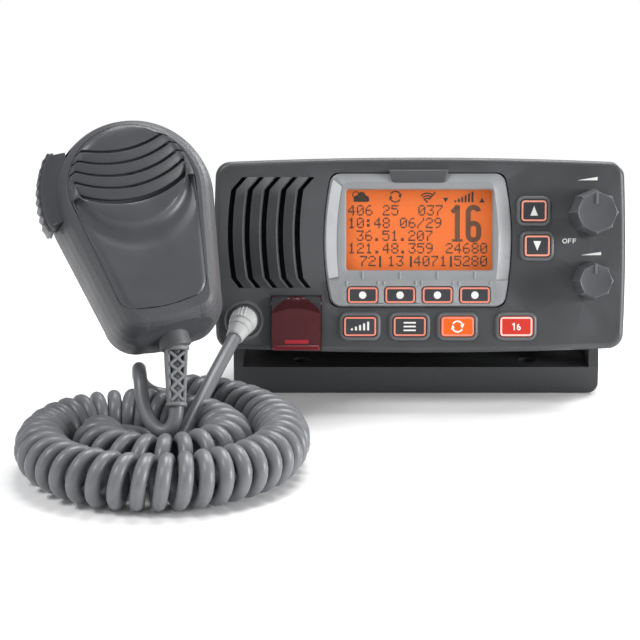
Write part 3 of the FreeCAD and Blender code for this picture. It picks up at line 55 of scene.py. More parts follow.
# ---- the same named sizes as the part's source, in millimetres and degrees
TILT, PIVOT_Z, PIVOT_DEPTH = 12.2, 52.4, 42.0
BEZEL_X, BEZEL_Z = -0.9, 6.0
BEZEL_W, BEZEL_H, BEZEL_BOW, BEZEL_CORNER = 68.0, 52.6, 3.0, 3.5
LCD_X, LCD_Z, LCD_W, LCD_H, LCD_FRONT = -0.35, 10.0, 57.6, 31.7, 3.7
SLOT_COUNT, SLOT_X, SLOT_PITCH, SLOT_WIDTH = 5, -74.9, 6.6, 2.1
SLOT_TOP, SLOT_BOTTOM, SLOT_KINK_TOP, SLOT_KINK_BOTTOM = 30.8, -12.9, 25.8, -9.0
SLOT_BULGE, SLOT_SHIFT_TOP, SLOT_SHIFT_BOTTOM = 1.4, 4.4, 3.0
KEY_CORNER, KEY_CLEAR, SOFT_PROUD, KEY_PROUD = 1.4, 0.2, 1.8, 1.3
# each key's middle, width and height
SOFT_KEYS = {"soft_key_%d" % (i + 1): (-22.7 + 14.75 * i, -15.7, 12.0, 6.5) for i in range(4)}
RIMMED_KEYS = {"power_level_key": (-23.7, -28.1, 13.0, 7.9), "menu_key": (-4.1, -28.1, 13.0, 7.9),
               "rewind_key": (14.8, -28.1, 13.0, 7.9), "channel_16_key": (38.0, -28.1, 13.0, 7.9),
               "channel_up_key": (44.8, 17.5, 10.2, 8.5), "channel_down_key": (46.1, 3.7, 10.2, 8.5)}
# each knob's middle and radius
KNOBS = {"volume": (67.7, 16.7, 9.6), "squelch": (67.4, -9.9, 7.9)}
KNOB_HEIGHT, KNOB_AIR, KNOB_LOBES = 13.0, 0.6, 8
COVER_LEFT, COVER_RIGHT, COVER_BOTTOM = -58.6, -39.2, -37.6
HINGE_Z, HINGE_DEPTH = -19.05, 0.6
SOCKET_X, SOCKET_Z = -69.5, -25.7
MIC_LEAN, MIC_ROLL, MIC_YAW = 28.0, 10.0, 15.0
MIC_AT = (-91.5, -107.5, 43.6)
MIC_TOP_Z, MIC_R, MIC_FOOT_HALF, MIC_FOOT_Z = 55.0, 29.8, 21.4, 12.0
# how far the shell's rounded edge lies back at a distance in from its outline
MIC_FRONT_ROUND = ((0.4, 14.0), (1.3, 9.2), (2.7, 5.2), (4.2, 2.5), (5.7, 0.9), (7.4, 0.0))
PLATE_X, PLATE_TOP_Z, PLATE_R = -1.8, 56.6, 22.7
PLATE_FOOT_HALF, PLATE_FOOT_Z, PLATE_LOW, PLATE_CORNER = 16.2, 18.5, 11.0, 7.0
PTT_WIDTH = 13.0
COLLAR_R, COLLAR_LOW, COLLAR_HIGH = 5.8, -2.0, 7.0
CORD_R, COIL_R = 2.6, 10.0
RING_X, RING_Y = -95.6, -118.0
# the coil's centre line: angle round the ring in degrees, and radius
ROUNDS = ((150.0, 20.0), (180.0, 23.0), (395.0, 23.0), (430.0, 25.0), (450.0, 28.0), (470.0, 33.0),
          (490.0, 38.0), (510.0, 42.0), (530.0, 43.5), (720.0, 43.5), (750.0, 44.5), (780.0, 47.5),
          (800.0, 51.5), (814.0, 55.5))
ROUND_STEPS = 30

MM = 0.001
# from the panel's own frame (x, depth, height in mm, origin at its front centre) to the row frame
PANEL = (Matrix.Translation((0, 0, PIVOT_Z * MM)) @ Matrix.Rotation(math.radians(-TILT), 4, "X")
         @ Matrix.Translation((0, -PIVOT_DEPTH * MM, 0)) @ Matrix.Scale(MM, 4))
MIC = (Matrix.Translation(Vector(MIC_AT) * MM) @ Matrix.Rotation(math.radians(MIC_YAW), 4, "Z")
       @ Matrix.Rotation(math.radians(-MIC_LEAN), 4, "X") @ Matrix.Rotation(math.radians(-MIC_ROLL), 4, "Y")
       @ Matrix.Scale(MM, 4))
ROW = Matrix.Scale(MM, 4)


def interpolated(table, at):
    """The value at a place, from rows of (place, value) with rising places."""
    for (a0, v0), (a1, v1) in zip(table, table[1:]):
        if a0 <= at <= a1 and a0 < a1:
            return v0 + (v1 - v0) * (at - a0) / (a1 - a0)
    return table[0][1] if at < table[0][0] else table[-1][1]


def placed(name, data):
    """A new object in the scene."""
    obj = bpy.data.objects.new(name, data)
    scene.collection.objects.link(obj)
    return obj


# ==== camera and light
def build_camera():
    data = bpy.data.cameras.new("camera")
    data.sensor_width = 36.0
    data.lens = 92.6
    camera = placed("camera", data)
    camera.location = (-0.0395, -0.6768, 0.1993)
    camera.rotation_euler = (math.radians(75.5), 0, 0)
    scene.camera = camera


LIGHT_AIM = Vector((-0.03, -0.05, 0.05))


def area_light(name, place, size, power):
    data = bpy.data.lights.new(name, "AREA")
    data.shape = "DISK"
    data.size = size
    data.energy = power
    lamp = placed(name, data)
    lamp.location = place
    lamp.rotation_euler = (LIGHT_AIM - Vector(place)).to_track_quat("-Z", "Y").to_euler()


def add_node(tree, kind, **inputs):
    """A new shader node; an input's name has _ for its space."""
    made = tree.nodes.new("ShaderNode" + kind)
    for name, value in inputs.items():
        made.inputs[name.replace("_", " ")].default_value = value
    return made


def join(tree, *wires):
    """Links, each given as node, output, node, input."""
    for start, output, end, entry in wires:
        tree.links.new(start.outputs[output], end.inputs[entry])


def build_light():
    """Five lamps, a dim sky for the object and white behind it for the camera."""
    scene.view_settings.view_transform = "Standard"
    area_light("key", (-0.70, -0.60, 1.15), 0.50, 9.5)
    area_light("top", (0.10, 0.35, 1.05), 0.70, 12.0)
    area_light("left", (-0.95, -0.60, 0.30), 0.50, 1.6)
    area_light("right", (1.00, -0.42, 0.24), 0.45, 12.0)
    area_light("rim", (0.75, 0.70, 0.55), 0.50, 9.0)
    world = bpy.data.worlds.new("world")
    scene.world = world
    world.use_nodes = True
    tree = world.node_tree
    tree.nodes.clear()
    out, mix, path = (add_node(tree, kind) for kind in ("OutputWorld", "MixShader", "LightPath"))
    either = add_node(tree, "Math")
    either.operation = "MAXIMUM"
    dim = add_node(tree, "Background", Color=(0.96, 0.97, 1.0, 1), Strength=0.25)
    white = add_node(tree, "Background", Color=(1, 1, 1, 1), Strength=1.0)
    join(tree, (path, "Is Camera Ray", either, 0), (path, "Is Transmission Ray", either, 1),
         (either, 0, mix, 0), (dim, 0, mix, 1), (white, 0, mix, 2), (mix, 0, out, "Surface"))


# ==== materials
def linear(code):
    values = [int(code[i:i + 2], 16) / 255.0 for i in (1, 3, 5)]
    return tuple(v / 12.92 if v <= 0.04045 else ((v + 0.055) / 1.055) ** 2.4 for v in values) + (1.0,)


def material(name, colour, rough, metallic=0.0, vary=0.06, vary_scale=90.0, grain=0.0, grain_scale=2500.0,
             rough_vary=0.05, coat=0.0, glow=0.0, edge_highlight=0.0, alpha=1.0):
    """A moulded, painted or metal surface: its colour and roughness drift a little, its grain is
    a fine bump, and edge_highlight paints a highlight: lighter rims on the sharp edges of a surface that
    drifts."""
    made = bpy.data.materials.new(name)
    made.use_nodes = True
    tree = made.node_tree
    shader = tree.nodes["Principled BSDF"]
    base = linear(colour)

    def tinted(factor, more=0.0):
        return tuple(min(c * factor + more, 1.0) for c in base[:3]) + (1,)

    for entry, value in (("Base Color", base), ("Roughness", rough), ("Metallic", metallic),
                         ("Coat Weight", coat), ("IOR", 1.46), ("Alpha", alpha)):
        shader.inputs[entry].default_value = value
    place = add_node(tree, "TexCoord")
    if vary:
        noise = add_node(tree, "TexNoise", Scale=vary_scale, Detail=4.0)
        ramp = add_node(tree, "ValToRGB")
        low, high = ramp.color_ramp.elements
        low.position, high.position = 0.3, 0.7
        low.color, high.color = tinted(1 - vary), tinted(1 + vary)
        spread = add_node(tree, "MapRange", From_Min=0.3, From_Max=0.7, To_Min=max(rough - rough_vary, 0.02),
                          To_Max=rough + rough_vary)
        join(tree, (place, "Object", noise, "Vector"), (noise, "Fac", ramp, "Fac"),
             (ramp, "Color", shader, "Base Color"), (noise, "Fac", spread, "Value"),
             (spread, "Result", shader, "Roughness"))
    if edge_highlight:
        shape = add_node(tree, "NewGeometry")
        rim = add_node(tree, "MapRange", From_Min=0.52, From_Max=0.62, To_Max=edge_highlight)
        mix = add_node(tree, "Mix")
        mix.data_type = "RGBA"
        # painted highlight: the colour of the rims, far paler than the surface
        mix.inputs["B"].default_value = tinted(2.2, 0.02)
        join(tree, (shape, "Pointiness", rim, "Value"), (rim, "Result", mix, "Factor"),
             (ramp, "Color", mix, "A"), (mix, "Result", shader, "Base Color"))
    if grain:
        fine = add_node(tree, "TexNoise", Scale=grain_scale, Detail=3.0)
        bump = add_node(tree, "Bump", Strength=grain, Distance=0.0002)
        join(tree, (place, "Object", fine, "Vector"), (fine, "Fac", bump, "Height"),
             (bump, "Normal", shader, "Normal"))
    if glow:
        shader.inputs["Emission Color"].default_value = base
        shader.inputs["Emission Strength"].default_value = glow
    return made


# colour, roughness and what else is set
LOOKS = {
    "panel": ("#434446", 0.40, dict(grain=0.25, grain_scale=3000.0, edge_highlight=0.35, vary=0.05)),
    "bezel": ("#8e9092", 0.32, dict(grain=0.12, grain_scale=3500.0, edge_highlight=0.4, vary=0.04)),
    # bevel: a painted highlight, far paler than the bezel, for the strip on the bezel's left bevel
    "bevel": ("#dcdee0", 0.30, dict(grain=0.12, grain_scale=3500.0, vary=0.03)),
    "window": ("#ffe9d0", 0.05, dict(vary=0.0, alpha=0.03)),
    "screen": ("#d45f06", 0.5, dict(vary_scale=30.0, glow=0.34)),
    "ink": ("#241008", 0.6, dict(vary=0.05)),
    # white: its faint glow is painted brightness on parts and printed marks that are no lamps
    "white": ("#e6e6e2", 0.45, dict(vary=0.03, glow=0.08)),
    "key": ("#3d3e41", 0.38, dict(grain=0.15, vary=0.05)),
    "lit": ("#d9806c", 0.4, dict(glow=0.18)),
    "orange_key": ("#da5c19", 0.32, dict(glow=0.20, coat=0.3)),
    "red_key": ("#be3127", 0.32, dict(glow=0.18, coat=0.3)),
    "rubber": ("#232425", 0.62, dict(grain=0.2)),
    "board": ("#1f5138", 0.45, dict(vary=0.12, vary_scale=300.0)),
    "black": ("#0d0d0e", 0.6, dict(grain=0.3, vary=0.1)),
    "gauze": ("#060606", 0.85, dict(grain=0.8, grain_scale=1200.0, vary=0.1)),
    "casting": ("#2d2e30", 0.52, dict(grain=0.6, grain_scale=1500.0, vary=0.08, edge_highlight=0.25)),
    "nickel": ("#c9c5bb", 0.26, dict(metallic=1.0, vary=0.05, rough_vary=0.08)),
    "steel": ("#a9abad", 0.34, dict(metallic=1.0, rough_vary=0.08)),
    "surround": ("#5c5e60", 0.36, dict(grain=0.15, grain_scale=3200.0, vary=0.04, edge_highlight=0.3)),
    "orange_lit": ("#e0907c", 0.4, dict(glow=0.2)),
    "pale_lit": ("#f6b8ae", 0.4, dict(glow=0.25)),
    # painted shade on the distress flap's rolled top
    "shade_red": ("#3c0810", 0.22, dict(coat=0.3)),
    # painted shade: darker than the panel, for the corners of the distress flap
    "recess_shade": ("#303133", 0.80, dict(grain=0.25, grain_scale=3000.0, vary=0.05)),
    "grip_red": ("#6e1420", 0.22, dict(coat=0.3)),
    # painted highlight on the distress flap, with a faint glow
    "bright_red": ("#b02a38", 0.3, dict(glow=0.06, coat=0.2)),
    "collar": ("#595b5d", 0.5, dict(grain=0.2, vary=0.05)),
    # painted shade for the inside of the microphone's sound holes
    "hole_shade": ("#0b0b0c", 0.8, dict(grain=0.3, vary=0.1)),
    "knob": ("#4e5053", 0.42, dict(grain=0.2, vary=0.05, edge_highlight=0.3)),
    "cover": ("#59282c", 0.18, dict(coat=0.4, alpha=0.92)),
    "bracket": ("#323335", 0.44, dict(grain=0.35, grain_scale=2200.0, edge_highlight=0.3)),
    "mic_shell": ("#4a4b4e", 0.44, dict(grain=0.9, grain_scale=1700.0)),
    "mic_plate": ("#48494c", 0.36, dict(grain=0.2, grain_scale=3200.0, vary=0.05, edge_highlight=0.25)),
    "cord": ("#6e7073", 0.36, dict(grain=0.15, grain_scale=2200.0, vary=0.07, vary_scale=60.0)),
    "plug": ("#b0b1b1", 0.48, dict(grain=0.2, edge_highlight=0.2)),
    "sleeve": ("#7b7d7f", 0.46, dict(grain=0.2, edge_highlight=0.2)),
    "ink_soft": ("#5e3317", 0.6, dict(vary=0.05)),
}
MATERIALS = {name: material(name, colour, rough, **more) for name, (colour, rough, more) in LOOKS.items()}

# what the CAD's own nodes are made of; the rest are keys
CAD_FINISHES = {
    "panel": "front_panel mic_socket", "bezel": "screen_bezel", "window": "screen_window",
    "screen": "lcd_panel", "white": "lcd_holder antenna_insulator", "black": "speaker_driver",
    "rubber": "keypad_mat panel_gasket power_gland friction_washers",
    "board": "front_board main_board mic_board", "gauze": "speaker_gauze",
    "casting": "chassis rear_heatsink", "nickel": "antenna_socket volume_encoder squelch_encoder mic_capsule",
    "steel": "distress_hinge_pin panel_screws board_screws heatsink_screws mic_hanger left_clamp_stud "
             "right_clamp_stud volume_shaft squelch_shaft mic_screws mic_hanger_stud",
    "plug": "mic_plug mic_strain_relief", "bracket": "mounting_bracket left_clamp_knob right_clamp_knob",
    "knob": "volume_knob squelch_knob mic_ptt_button", "cover": "distress_cover",
    "red_key": "distress_button channel_16_key", "orange_key": "rewind_key",
    "mic_shell": "mic_front_shell mic_rear_shell", "mic_plate": "mic_face_plate",
}
CAD_MATERIALS = {name: finish for finish, names in CAD_FINISHES.items() for name in names.split()}


def dress_cad():
    for name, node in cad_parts.items():
        finish = MATERIALS[CAD_MATERIALS.get(name, "key")]
        node.data.materials.clear()
        node.data.materials.append(finish)
        for slot in node.material_slots:
            slot.link = "OBJECT"
            slot.material = finish


# ==== mesh helpers
WELD = 2e-7              # points closer than this, in metres, become one


def piece(name, vertices, faces, finish, body, matrix=ROW, smooth=True, ride=True, angle=40.0):
    """A new mesh in the row frame from millimetre points in the given frame."""
    mesh = bpy.data.meshes.new(name)
    mesh.from_pydata([matrix @ Vector(v) for v in vertices], [], faces)
    mesh.materials.append(MATERIALS[finish])
    mesh.validate()
    work = bmesh.new()
    work.from_mesh(mesh)
    bmesh.ops.remove_doubles(work, verts=work.verts, dist=WELD)
    bmesh.ops.recalc_face_normals(work, faces=work.faces)
    work.to_mesh(mesh)
    work.free()
    obj = placed(name, mesh)
    if smooth:
        mesh.shade_smooth()
        mesh.set_sharp_from_angle(angle=math.radians(angle))
    if ride:
        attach(obj, body)
    return obj


def grid(rows, columns, closed=False):
    """Faces of a sheet of rows of points; closed joins the two ends of each row."""
    spans = [(c, (c + 1) % columns) for c in range(columns if closed else columns - 1)]
    return [(r + a, r + b, r + columns + b, r + columns + a)
            for r in range(0, (rows - 1) * columns, columns) for a, b in spans]


def carried(line, side):
    """Each point of a line with two directions across it, which turn no more than the line does."""
    tangent = (line[1] - line[0]).normalized()
    for i, point in enumerate(line):
        ahead = (line[min(i + 1, len(line) - 1)] - line[max(i - 1, 0)]).normalized()
        side = tangent.rotation_difference(ahead) @ side
        side = (side - ahead * side.dot(ahead)).normalized()
        tangent = ahead
        yield point, side, ahead.cross(side)


def sweep(points, radius, sides=14, ring_scale=lambda i: 1.0):
    """Vertices and faces of a round tube along a close line of points, with flat ends."""
    vertices = []
    start = (points[1] - points[0]).normalized().orthogonal().normalized()
    for i, (point, side, up) in enumerate(carried(points, start)):
        r = radius * ring_scale(i)
        for j in range(sides):
            a = 2 * math.pi * j / sides
            vertices.append(point + (side * math.cos(a) + up * math.sin(a)) * r)
    last = (len(points) - 1) * sides
    ends = [tuple(reversed(range(sides))), tuple(range(last, last + sides))]
    return vertices, grid(len(points), sides, closed=True) + ends


class Shape:
    """Vertices and faces gathered from several forms, in millimetres."""

    def __init__(self):
        self.vertices, self.faces = [], []

    def add(self, form):
        vertices, faces = form
        start = len(self.vertices)
        self.vertices += [tuple(v) for v in vertices]
        self.faces += [tuple(start + i for i in face) for face in faces]

    def make(self, name, finish, body, matrix=ROW, **more):
        return piece(name, self.vertices, self.faces, finish, body, matrix, **more)


def outline(x, z, w, h, corner, bow=0.0, steps=5, sides=4):
    """Points round a rectangle with rounded corners and with bowed left and right sides."""
    hw, hh, corner = w / 2.0, h / 2.0, max(corner, 0.05)
    points = []
    for k, (sx, sz) in enumerate(((1, -1), (1, 1), (-1, 1), (-1, -1))):
        for i in range(steps + 1):
            a = math.radians(90.0 * (k - 1 + i / steps))
            points.append((sx * (hw - corner) + corner * math.cos(a),
                           sz * (hh - corner) + corner * math.sin(a)))
        ahead = ((hw, hh - corner), (corner - hw, hh), (-hw, corner - hh), (hw - corner, -hh))[k]
        last = points[-1]
        for i in range(1, sides):
            t = i / sides
            points.append((last[0] + (ahead[0] - last[0]) * t, last[1] + (ahead[1] - last[1]) * t))
    return [(x + px + bow * (px / hw) * (1 - (pz / hh) ** 2), z + pz) for px, pz in points]


def circle(x, z, r, count=32):
    return [(x + r * math.cos(2 * math.pi * i / count), z + r * math.sin(2 * math.pi * i / count))
            for i in range(count)]


def rings(levels, cap_first=False, cap_last=True):
    """A skin through loops of equally many points, given as (loop of x and z, depth)."""
    vertices = [(x, depth, z) for loop, depth in levels for x, z in loop]
    count = len(levels[0][0])
    faces = grid(len(levels), count, closed=True)
    if cap_first:
        faces.append(tuple(range(count)))
    if cap_last:
        faces.append(tuple(range((len(levels) - 1) * count, len(levels) * count)))
    return vertices, faces


def prism(loop, front, back):
    return rings([(loop, back), (loop, front)], True, True)


def holed_face(loops, depth):
    """Triangles that fill the first loop round the others."""
    triangles = tessellate_polygon([[Vector((x, z, 0)) for x, z in loop] for loop in loops])
    return [(x, depth, z) for loop in loops for x, z in loop], [tuple(t) for t in triangles]


def bar(x0, z0, x1, z1, width):
    """The loop of a straight stroke."""
    run = Vector((x1 - x0, z1 - z0)).normalized() * (width / 2.0)
    return [(x0 + run.y, z0 - run.x), (x1 + run.y, z1 - run.x),
            (x1 - run.y, z1 + run.x), (x0 - run.y, z0 + run.x)]


def arc_stroke(x, z, r, a0, a1, width, count=14):
    """The loop of a curved stroke, with angles in degrees."""
    loop = []
    for radius, turn in ((r + width / 2.0, 1), (r - width / 2.0, -1)):
        for i in range(count + 1)[::turn]:
            a = math.radians(a0 + (a1 - a0) * i / count)
            loop.append((x + radius * math.cos(a), z + radius * math.sin(a)))
    return loop


def turning_arrows(x, z, r, width):
    """Two curved arrows that chase each other, as loops."""
    def at(reach, degrees):
        a = math.radians(degrees)
        return x + reach * math.cos(a), z + reach * math.sin(a)

    loops = []
    for turn in (0, 180):
        loops.append(arc_stroke(x, z, r, turn + 150, turn + 25, width))
        loops.append([at(r - 1.5 * width, turn + 25), at(r + 1.5 * width, turn + 25), at(r, turn - 22)])
    return loops


def printed(name, loops, front, finish, body, thick=0.05):
    """Flat marks on a face of the set."""
    shape = Shape()
    for loop in loops:
        shape.add(prism(loop, front - thick, front + thick))
    shape.make(name, finish, body, PANEL, smooth=False)


# ==== cords
def panel_point(x, depth, z):
    return PANEL @ Vector((x, depth, z)) / MM


def mic_point(x, y, z):
    return MIC @ Vector((x, y, z)) / MM


# control points of the cord's route, as in the part's source but for a closer bend at the microphone
PLUG_AIM = Vector((-0.273, -0.796, -0.540)).normalized()
PLUG_HEAD = Vector((SOCKET_X, -6.0, SOCKET_Z))
PLUG_NECK, TAIL_STRAIGHT = 11.0, 58.0
RADIO_TAIL = [(-90.5, -123.5, 7.4), (-97.3, -124.9, 5.5), (-101.8, -119.1, 3.6), (-97.4, -106.9, 3.6),
              (-103.9, -101.3, 7.2), (-111.5, -106.7, 10.2)]
RELIEF_END = Vector((-90.7, -116.0, 22.9))
RELIEF_RUN = 6.5
MIC_TAIL = [(-95.8, -119.0, 12.6), (-102.8, -113.8, 18.8), (-105.0, -103.6, 33.0), (-107.2, -86.0, 27.5),
            (-109.4, -70.5, 20.0), (-106.5, -63.2, 12.0)]
HELIX_R = COIL_R - CORD_R
HELIX_PITCH = 6.5
HELIX_TURN_POINTS = 24
COIL_OPENING = 12.0      # the length over which the coil opens at its ends


def ring_points():
    """The curly part's centre line, which spirals out from the cord's end at the set."""
    first, last = ROUNDS[0][0], ROUNDS[-1][0]
    points = []
    for i in range(ROUND_STEPS + 1):
        angle = first + (last - first) * i / ROUND_STEPS
        radius, a = interpolated(ROUNDS, angle), math.radians(angle)
        points.append(Vector((RING_X + radius * math.cos(a), RING_Y + radius * math.sin(a), COIL_R + 0.2)))
    return points


def smooth_line(name, points):
    """Points in millimetres read from a NURBS spline with the given control points."""
    data = bpy.data.curves.new(name, "CURVE")
    data.dimensions = "3D"
    spline = data.splines.new("NURBS")
    spline.points.add(len(points) - 1)
    for knot, point in zip(spline.points, points):
        knot.co = (point[0], point[1], point[2], 1.0)
    spline.order_u = 3
    spline.use_endpoint_u = True
    data.resolution_u = 16
    obj = placed(name, data)
    bpy.context.view_layer.update()
    mesh = bpy.data.meshes.new_from_object(obj)
    line = [v.co.copy() for v in mesh.vertices]
    bpy.data.objects.remove(obj)
    bpy.data.curves.remove(data)
    bpy.data.meshes.remove(mesh)
    return line


def length_of(line):
    return sum((b - a).length for a, b in zip(line, line[1:]))


def spaced(line, step):
    """The same line with points an even distance apart."""
    total = length_of(line)
    count = max(int(round(total / step)), 2)
    out, gone, index = [line[0].copy()], 0.0, 0
    for i in range(1, count):
        target = total / count * i
        while gone + (line[index + 1] - line[index]).length < target:
            gone += (line[index + 1] - line[index]).length
            index += 1
        run = line[index + 1] - line[index]
        out.append(line[index] + run * ((target - gone) / run.length))
    out.append(line[-1].copy())
    return out


def relief_top():
    return mic_point(0, 0, COLLAR_LOW + 1.0)


def cord_route():
    """The whole cord's line from the plug to the microphone, and where the coil begins and ends."""
    plug_exit = PLUG_HEAD + PLUG_AIM * PLUG_NECK
    exit_point = panel_point(*plug_exit)
    taut_end = panel_point(*(plug_exit + PLUG_AIM * TAIL_STRAIGHT))
    first = RELIEF_END + (RELIEF_END - relief_top()).normalized() * RELIEF_RUN
    ring = ring_points()
    tail_one = [exit_point, taut_end] + [Vector(p) for p in RADIO_TAIL]
    tail_two = [Vector(p) for p in reversed(MIC_TAIL)] + [first, RELIEF_END]
    line = spaced(smooth_line("route", tail_one + ring + tail_two), HELIX_PITCH / HELIX_TURN_POINTS)

    def nearest(point):
        return min(range(len(line)), key=lambda i: (line[i] - point).length)

    return line, nearest(ring[0]), nearest(ring[-1]), exit_point, taut_end


def coiled(line, start, end):
    """The line with its stretch from start to end wound into a helix that opens at both ends."""
    step = (line[1] - line[0]).length
    ahead = (line[1] - line[0]).normalized()
    above = (Vector((0, 0, 1)) - ahead * ahead.z).normalized()
    out, phase = [], 0.0
    for i, (point, side, up) in enumerate(carried(line, above)):
        run = min(max(min(i - start, end - i) * step / COIL_OPENING, 0.0), 1.0)
        share = run * run * (3 - 2 * run)
        # hand-laid turns are a little looser in one place than in another
        s = i * step
        pitch = HELIX_PITCH * (1.0 + 0.05 * math.sin(s / 23.0) + 0.03 * math.sin(s / 9.1))
        radius = HELIX_R * share * (1.0 - 0.012 + 0.012 * math.sin(s / 5.3))
        if start <= i <= end:
            phase -= 2 * math.pi * step / pitch
        out.append(point + (side * math.cos(phase) + up * math.sin(phase)) * radius)
    return out


def cord_piece(name, points, node, blend=None):
    obj = piece(name, *sweep(points, CORD_R), "cord", "bracket", ride=blend is None)
    if blend:
        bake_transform(obj)
    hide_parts(node)
    path = [p * MM for p in points]
    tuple(path[0])
    length_of(path)


def build_cords():
    """The cord in three pieces that meet end to end: a tail that follows the set, the curly part
    and a tail that follows the microphone."""
    line, start, end, exit_point, taut_end = cord_route()
    line = coiled(line, start, end)
    tail_one, tail_two = line[:start + 1], line[end:][::-1]
    thin_one = tail_one[:-1:4] + tail_one[-1:]
    thin_two = tail_two[:-1:4] + tail_two[-1:]
    cord_piece("cord_at_radio", thin_one, "cord_radio_tail",
               ("radio", "bracket", exit_point * MM, exit_point.lerp(taut_end, 0.85) * MM))
    cord_piece("curly_cord_helix", line[start:end + 1], "curly_cord")
    cord_piece("cord_at_microphone", thin_two, "cord_mic_tail",
               ("microphone", "bracket", RELIEF_END * MM, Vector(MIC_TAIL[-1]) * MM))


# ==== front of the set
def slot_side(x, steps=10):
    """Points up one side of a speaker slot whose middle lies at x."""
    kink = x + SLOT_BULGE
    middle, half = (SLOT_KINK_TOP + SLOT_KINK_BOTTOM) / 2.0, (SLOT_KINK_TOP - SLOT_KINK_BOTTOM) / 2.0
    points = [(kink + SLOT_SHIFT_BOTTOM, SLOT_BOTTOM)]
    for i in range(steps + 1):
        z = SLOT_KINK_BOTTOM + 2 * half * i / steps
        points.append((x + SLOT_BULGE * ((z - middle) / half) ** 2, z))
    points.append((kink + SLOT_SHIFT_TOP, SLOT_TOP))
    return points


LOUVRE_RISE = 1.3
LOUVRE_END = 0.25        # how much of its rise a fin keeps at its two ends


def build_louvres():
    """Fins between the speaker's slots: each face slopes out to a bevelled edge at its right."""
    width = SLOT_PITCH - SLOT_WIDTH
    section = ((-0.05, 1.5), (-0.05, 0.0), (0.35, -0.12), (width - 1.1, -LOUVRE_RISE + 0.12),
               (width - 0.75, -LOUVRE_RISE), (width - 0.4, -LOUVRE_RISE + 0.15), (width + 0.05, -0.1),
               (width + 0.05, 1.5))
    shape = Shape()
    for i in range(SLOT_COUNT - 1):
        left = slot_side(SLOT_X + i * SLOT_PITCH + SLOT_WIDTH / 2.0)
        rows, n = len(left), len(section)
        vertices = []
        for k, (x, z) in enumerate(left):
            rise = LOUVRE_END if k in (0, rows - 1) else 1.0
            vertices += [(x + across, depth * rise if depth < 0 else depth, z) for across, depth in section]
        ends = [tuple(range(n)), tuple(range((rows - 1) * n, rows * n))]
        shape.add((vertices, grid(rows, n) + ends))
    shape.make("speaker_louvres", "panel", "radio", PANEL, angle=28)


BEZEL_FACE, LOWER_FACE = -1.3, -1.6      # depth of the bezel's flat face round the screen and round the keys
CREASE_HIGH, CREASE_LOW = -9.4, -10.1    # the slope between the two
NEAR = 1e-6


def with_levels(loop, heights):
    """The loop with added points where it crosses the given heights."""
    for height in heights:
        out = []
        for (x0, z0), (x1, z1) in zip(loop, loop[1:] + loop[:1]):
            out.append((x0, z0))
            if (z0 - height) * (z1 - height) < 0:
                out.append((x0 + (x1 - x0) * (height - z0) / (z1 - z0), height))
        loop = out
    return loop


def bezel_depth(upper, lower, z):
    share = min(max((CREASE_HIGH - z) / (CREASE_HIGH - CREASE_LOW), 0.0), 1.0)
    return upper + (lower - upper) * share


def bezel_edge(side, top, low, corner=BEZEL_CORNER, bow=BEZEL_BOW):
    """The bezel's outline, drawn in by three widths."""
    loop = outline(BEZEL_X, BEZEL_Z + (low - top) / 2.0, BEZEL_W - 2 * side, BEZEL_H - top - low, corner, bow,
                   6, 12)
    return with_levels(loop, (CREASE_HIGH, CREASE_LOW))


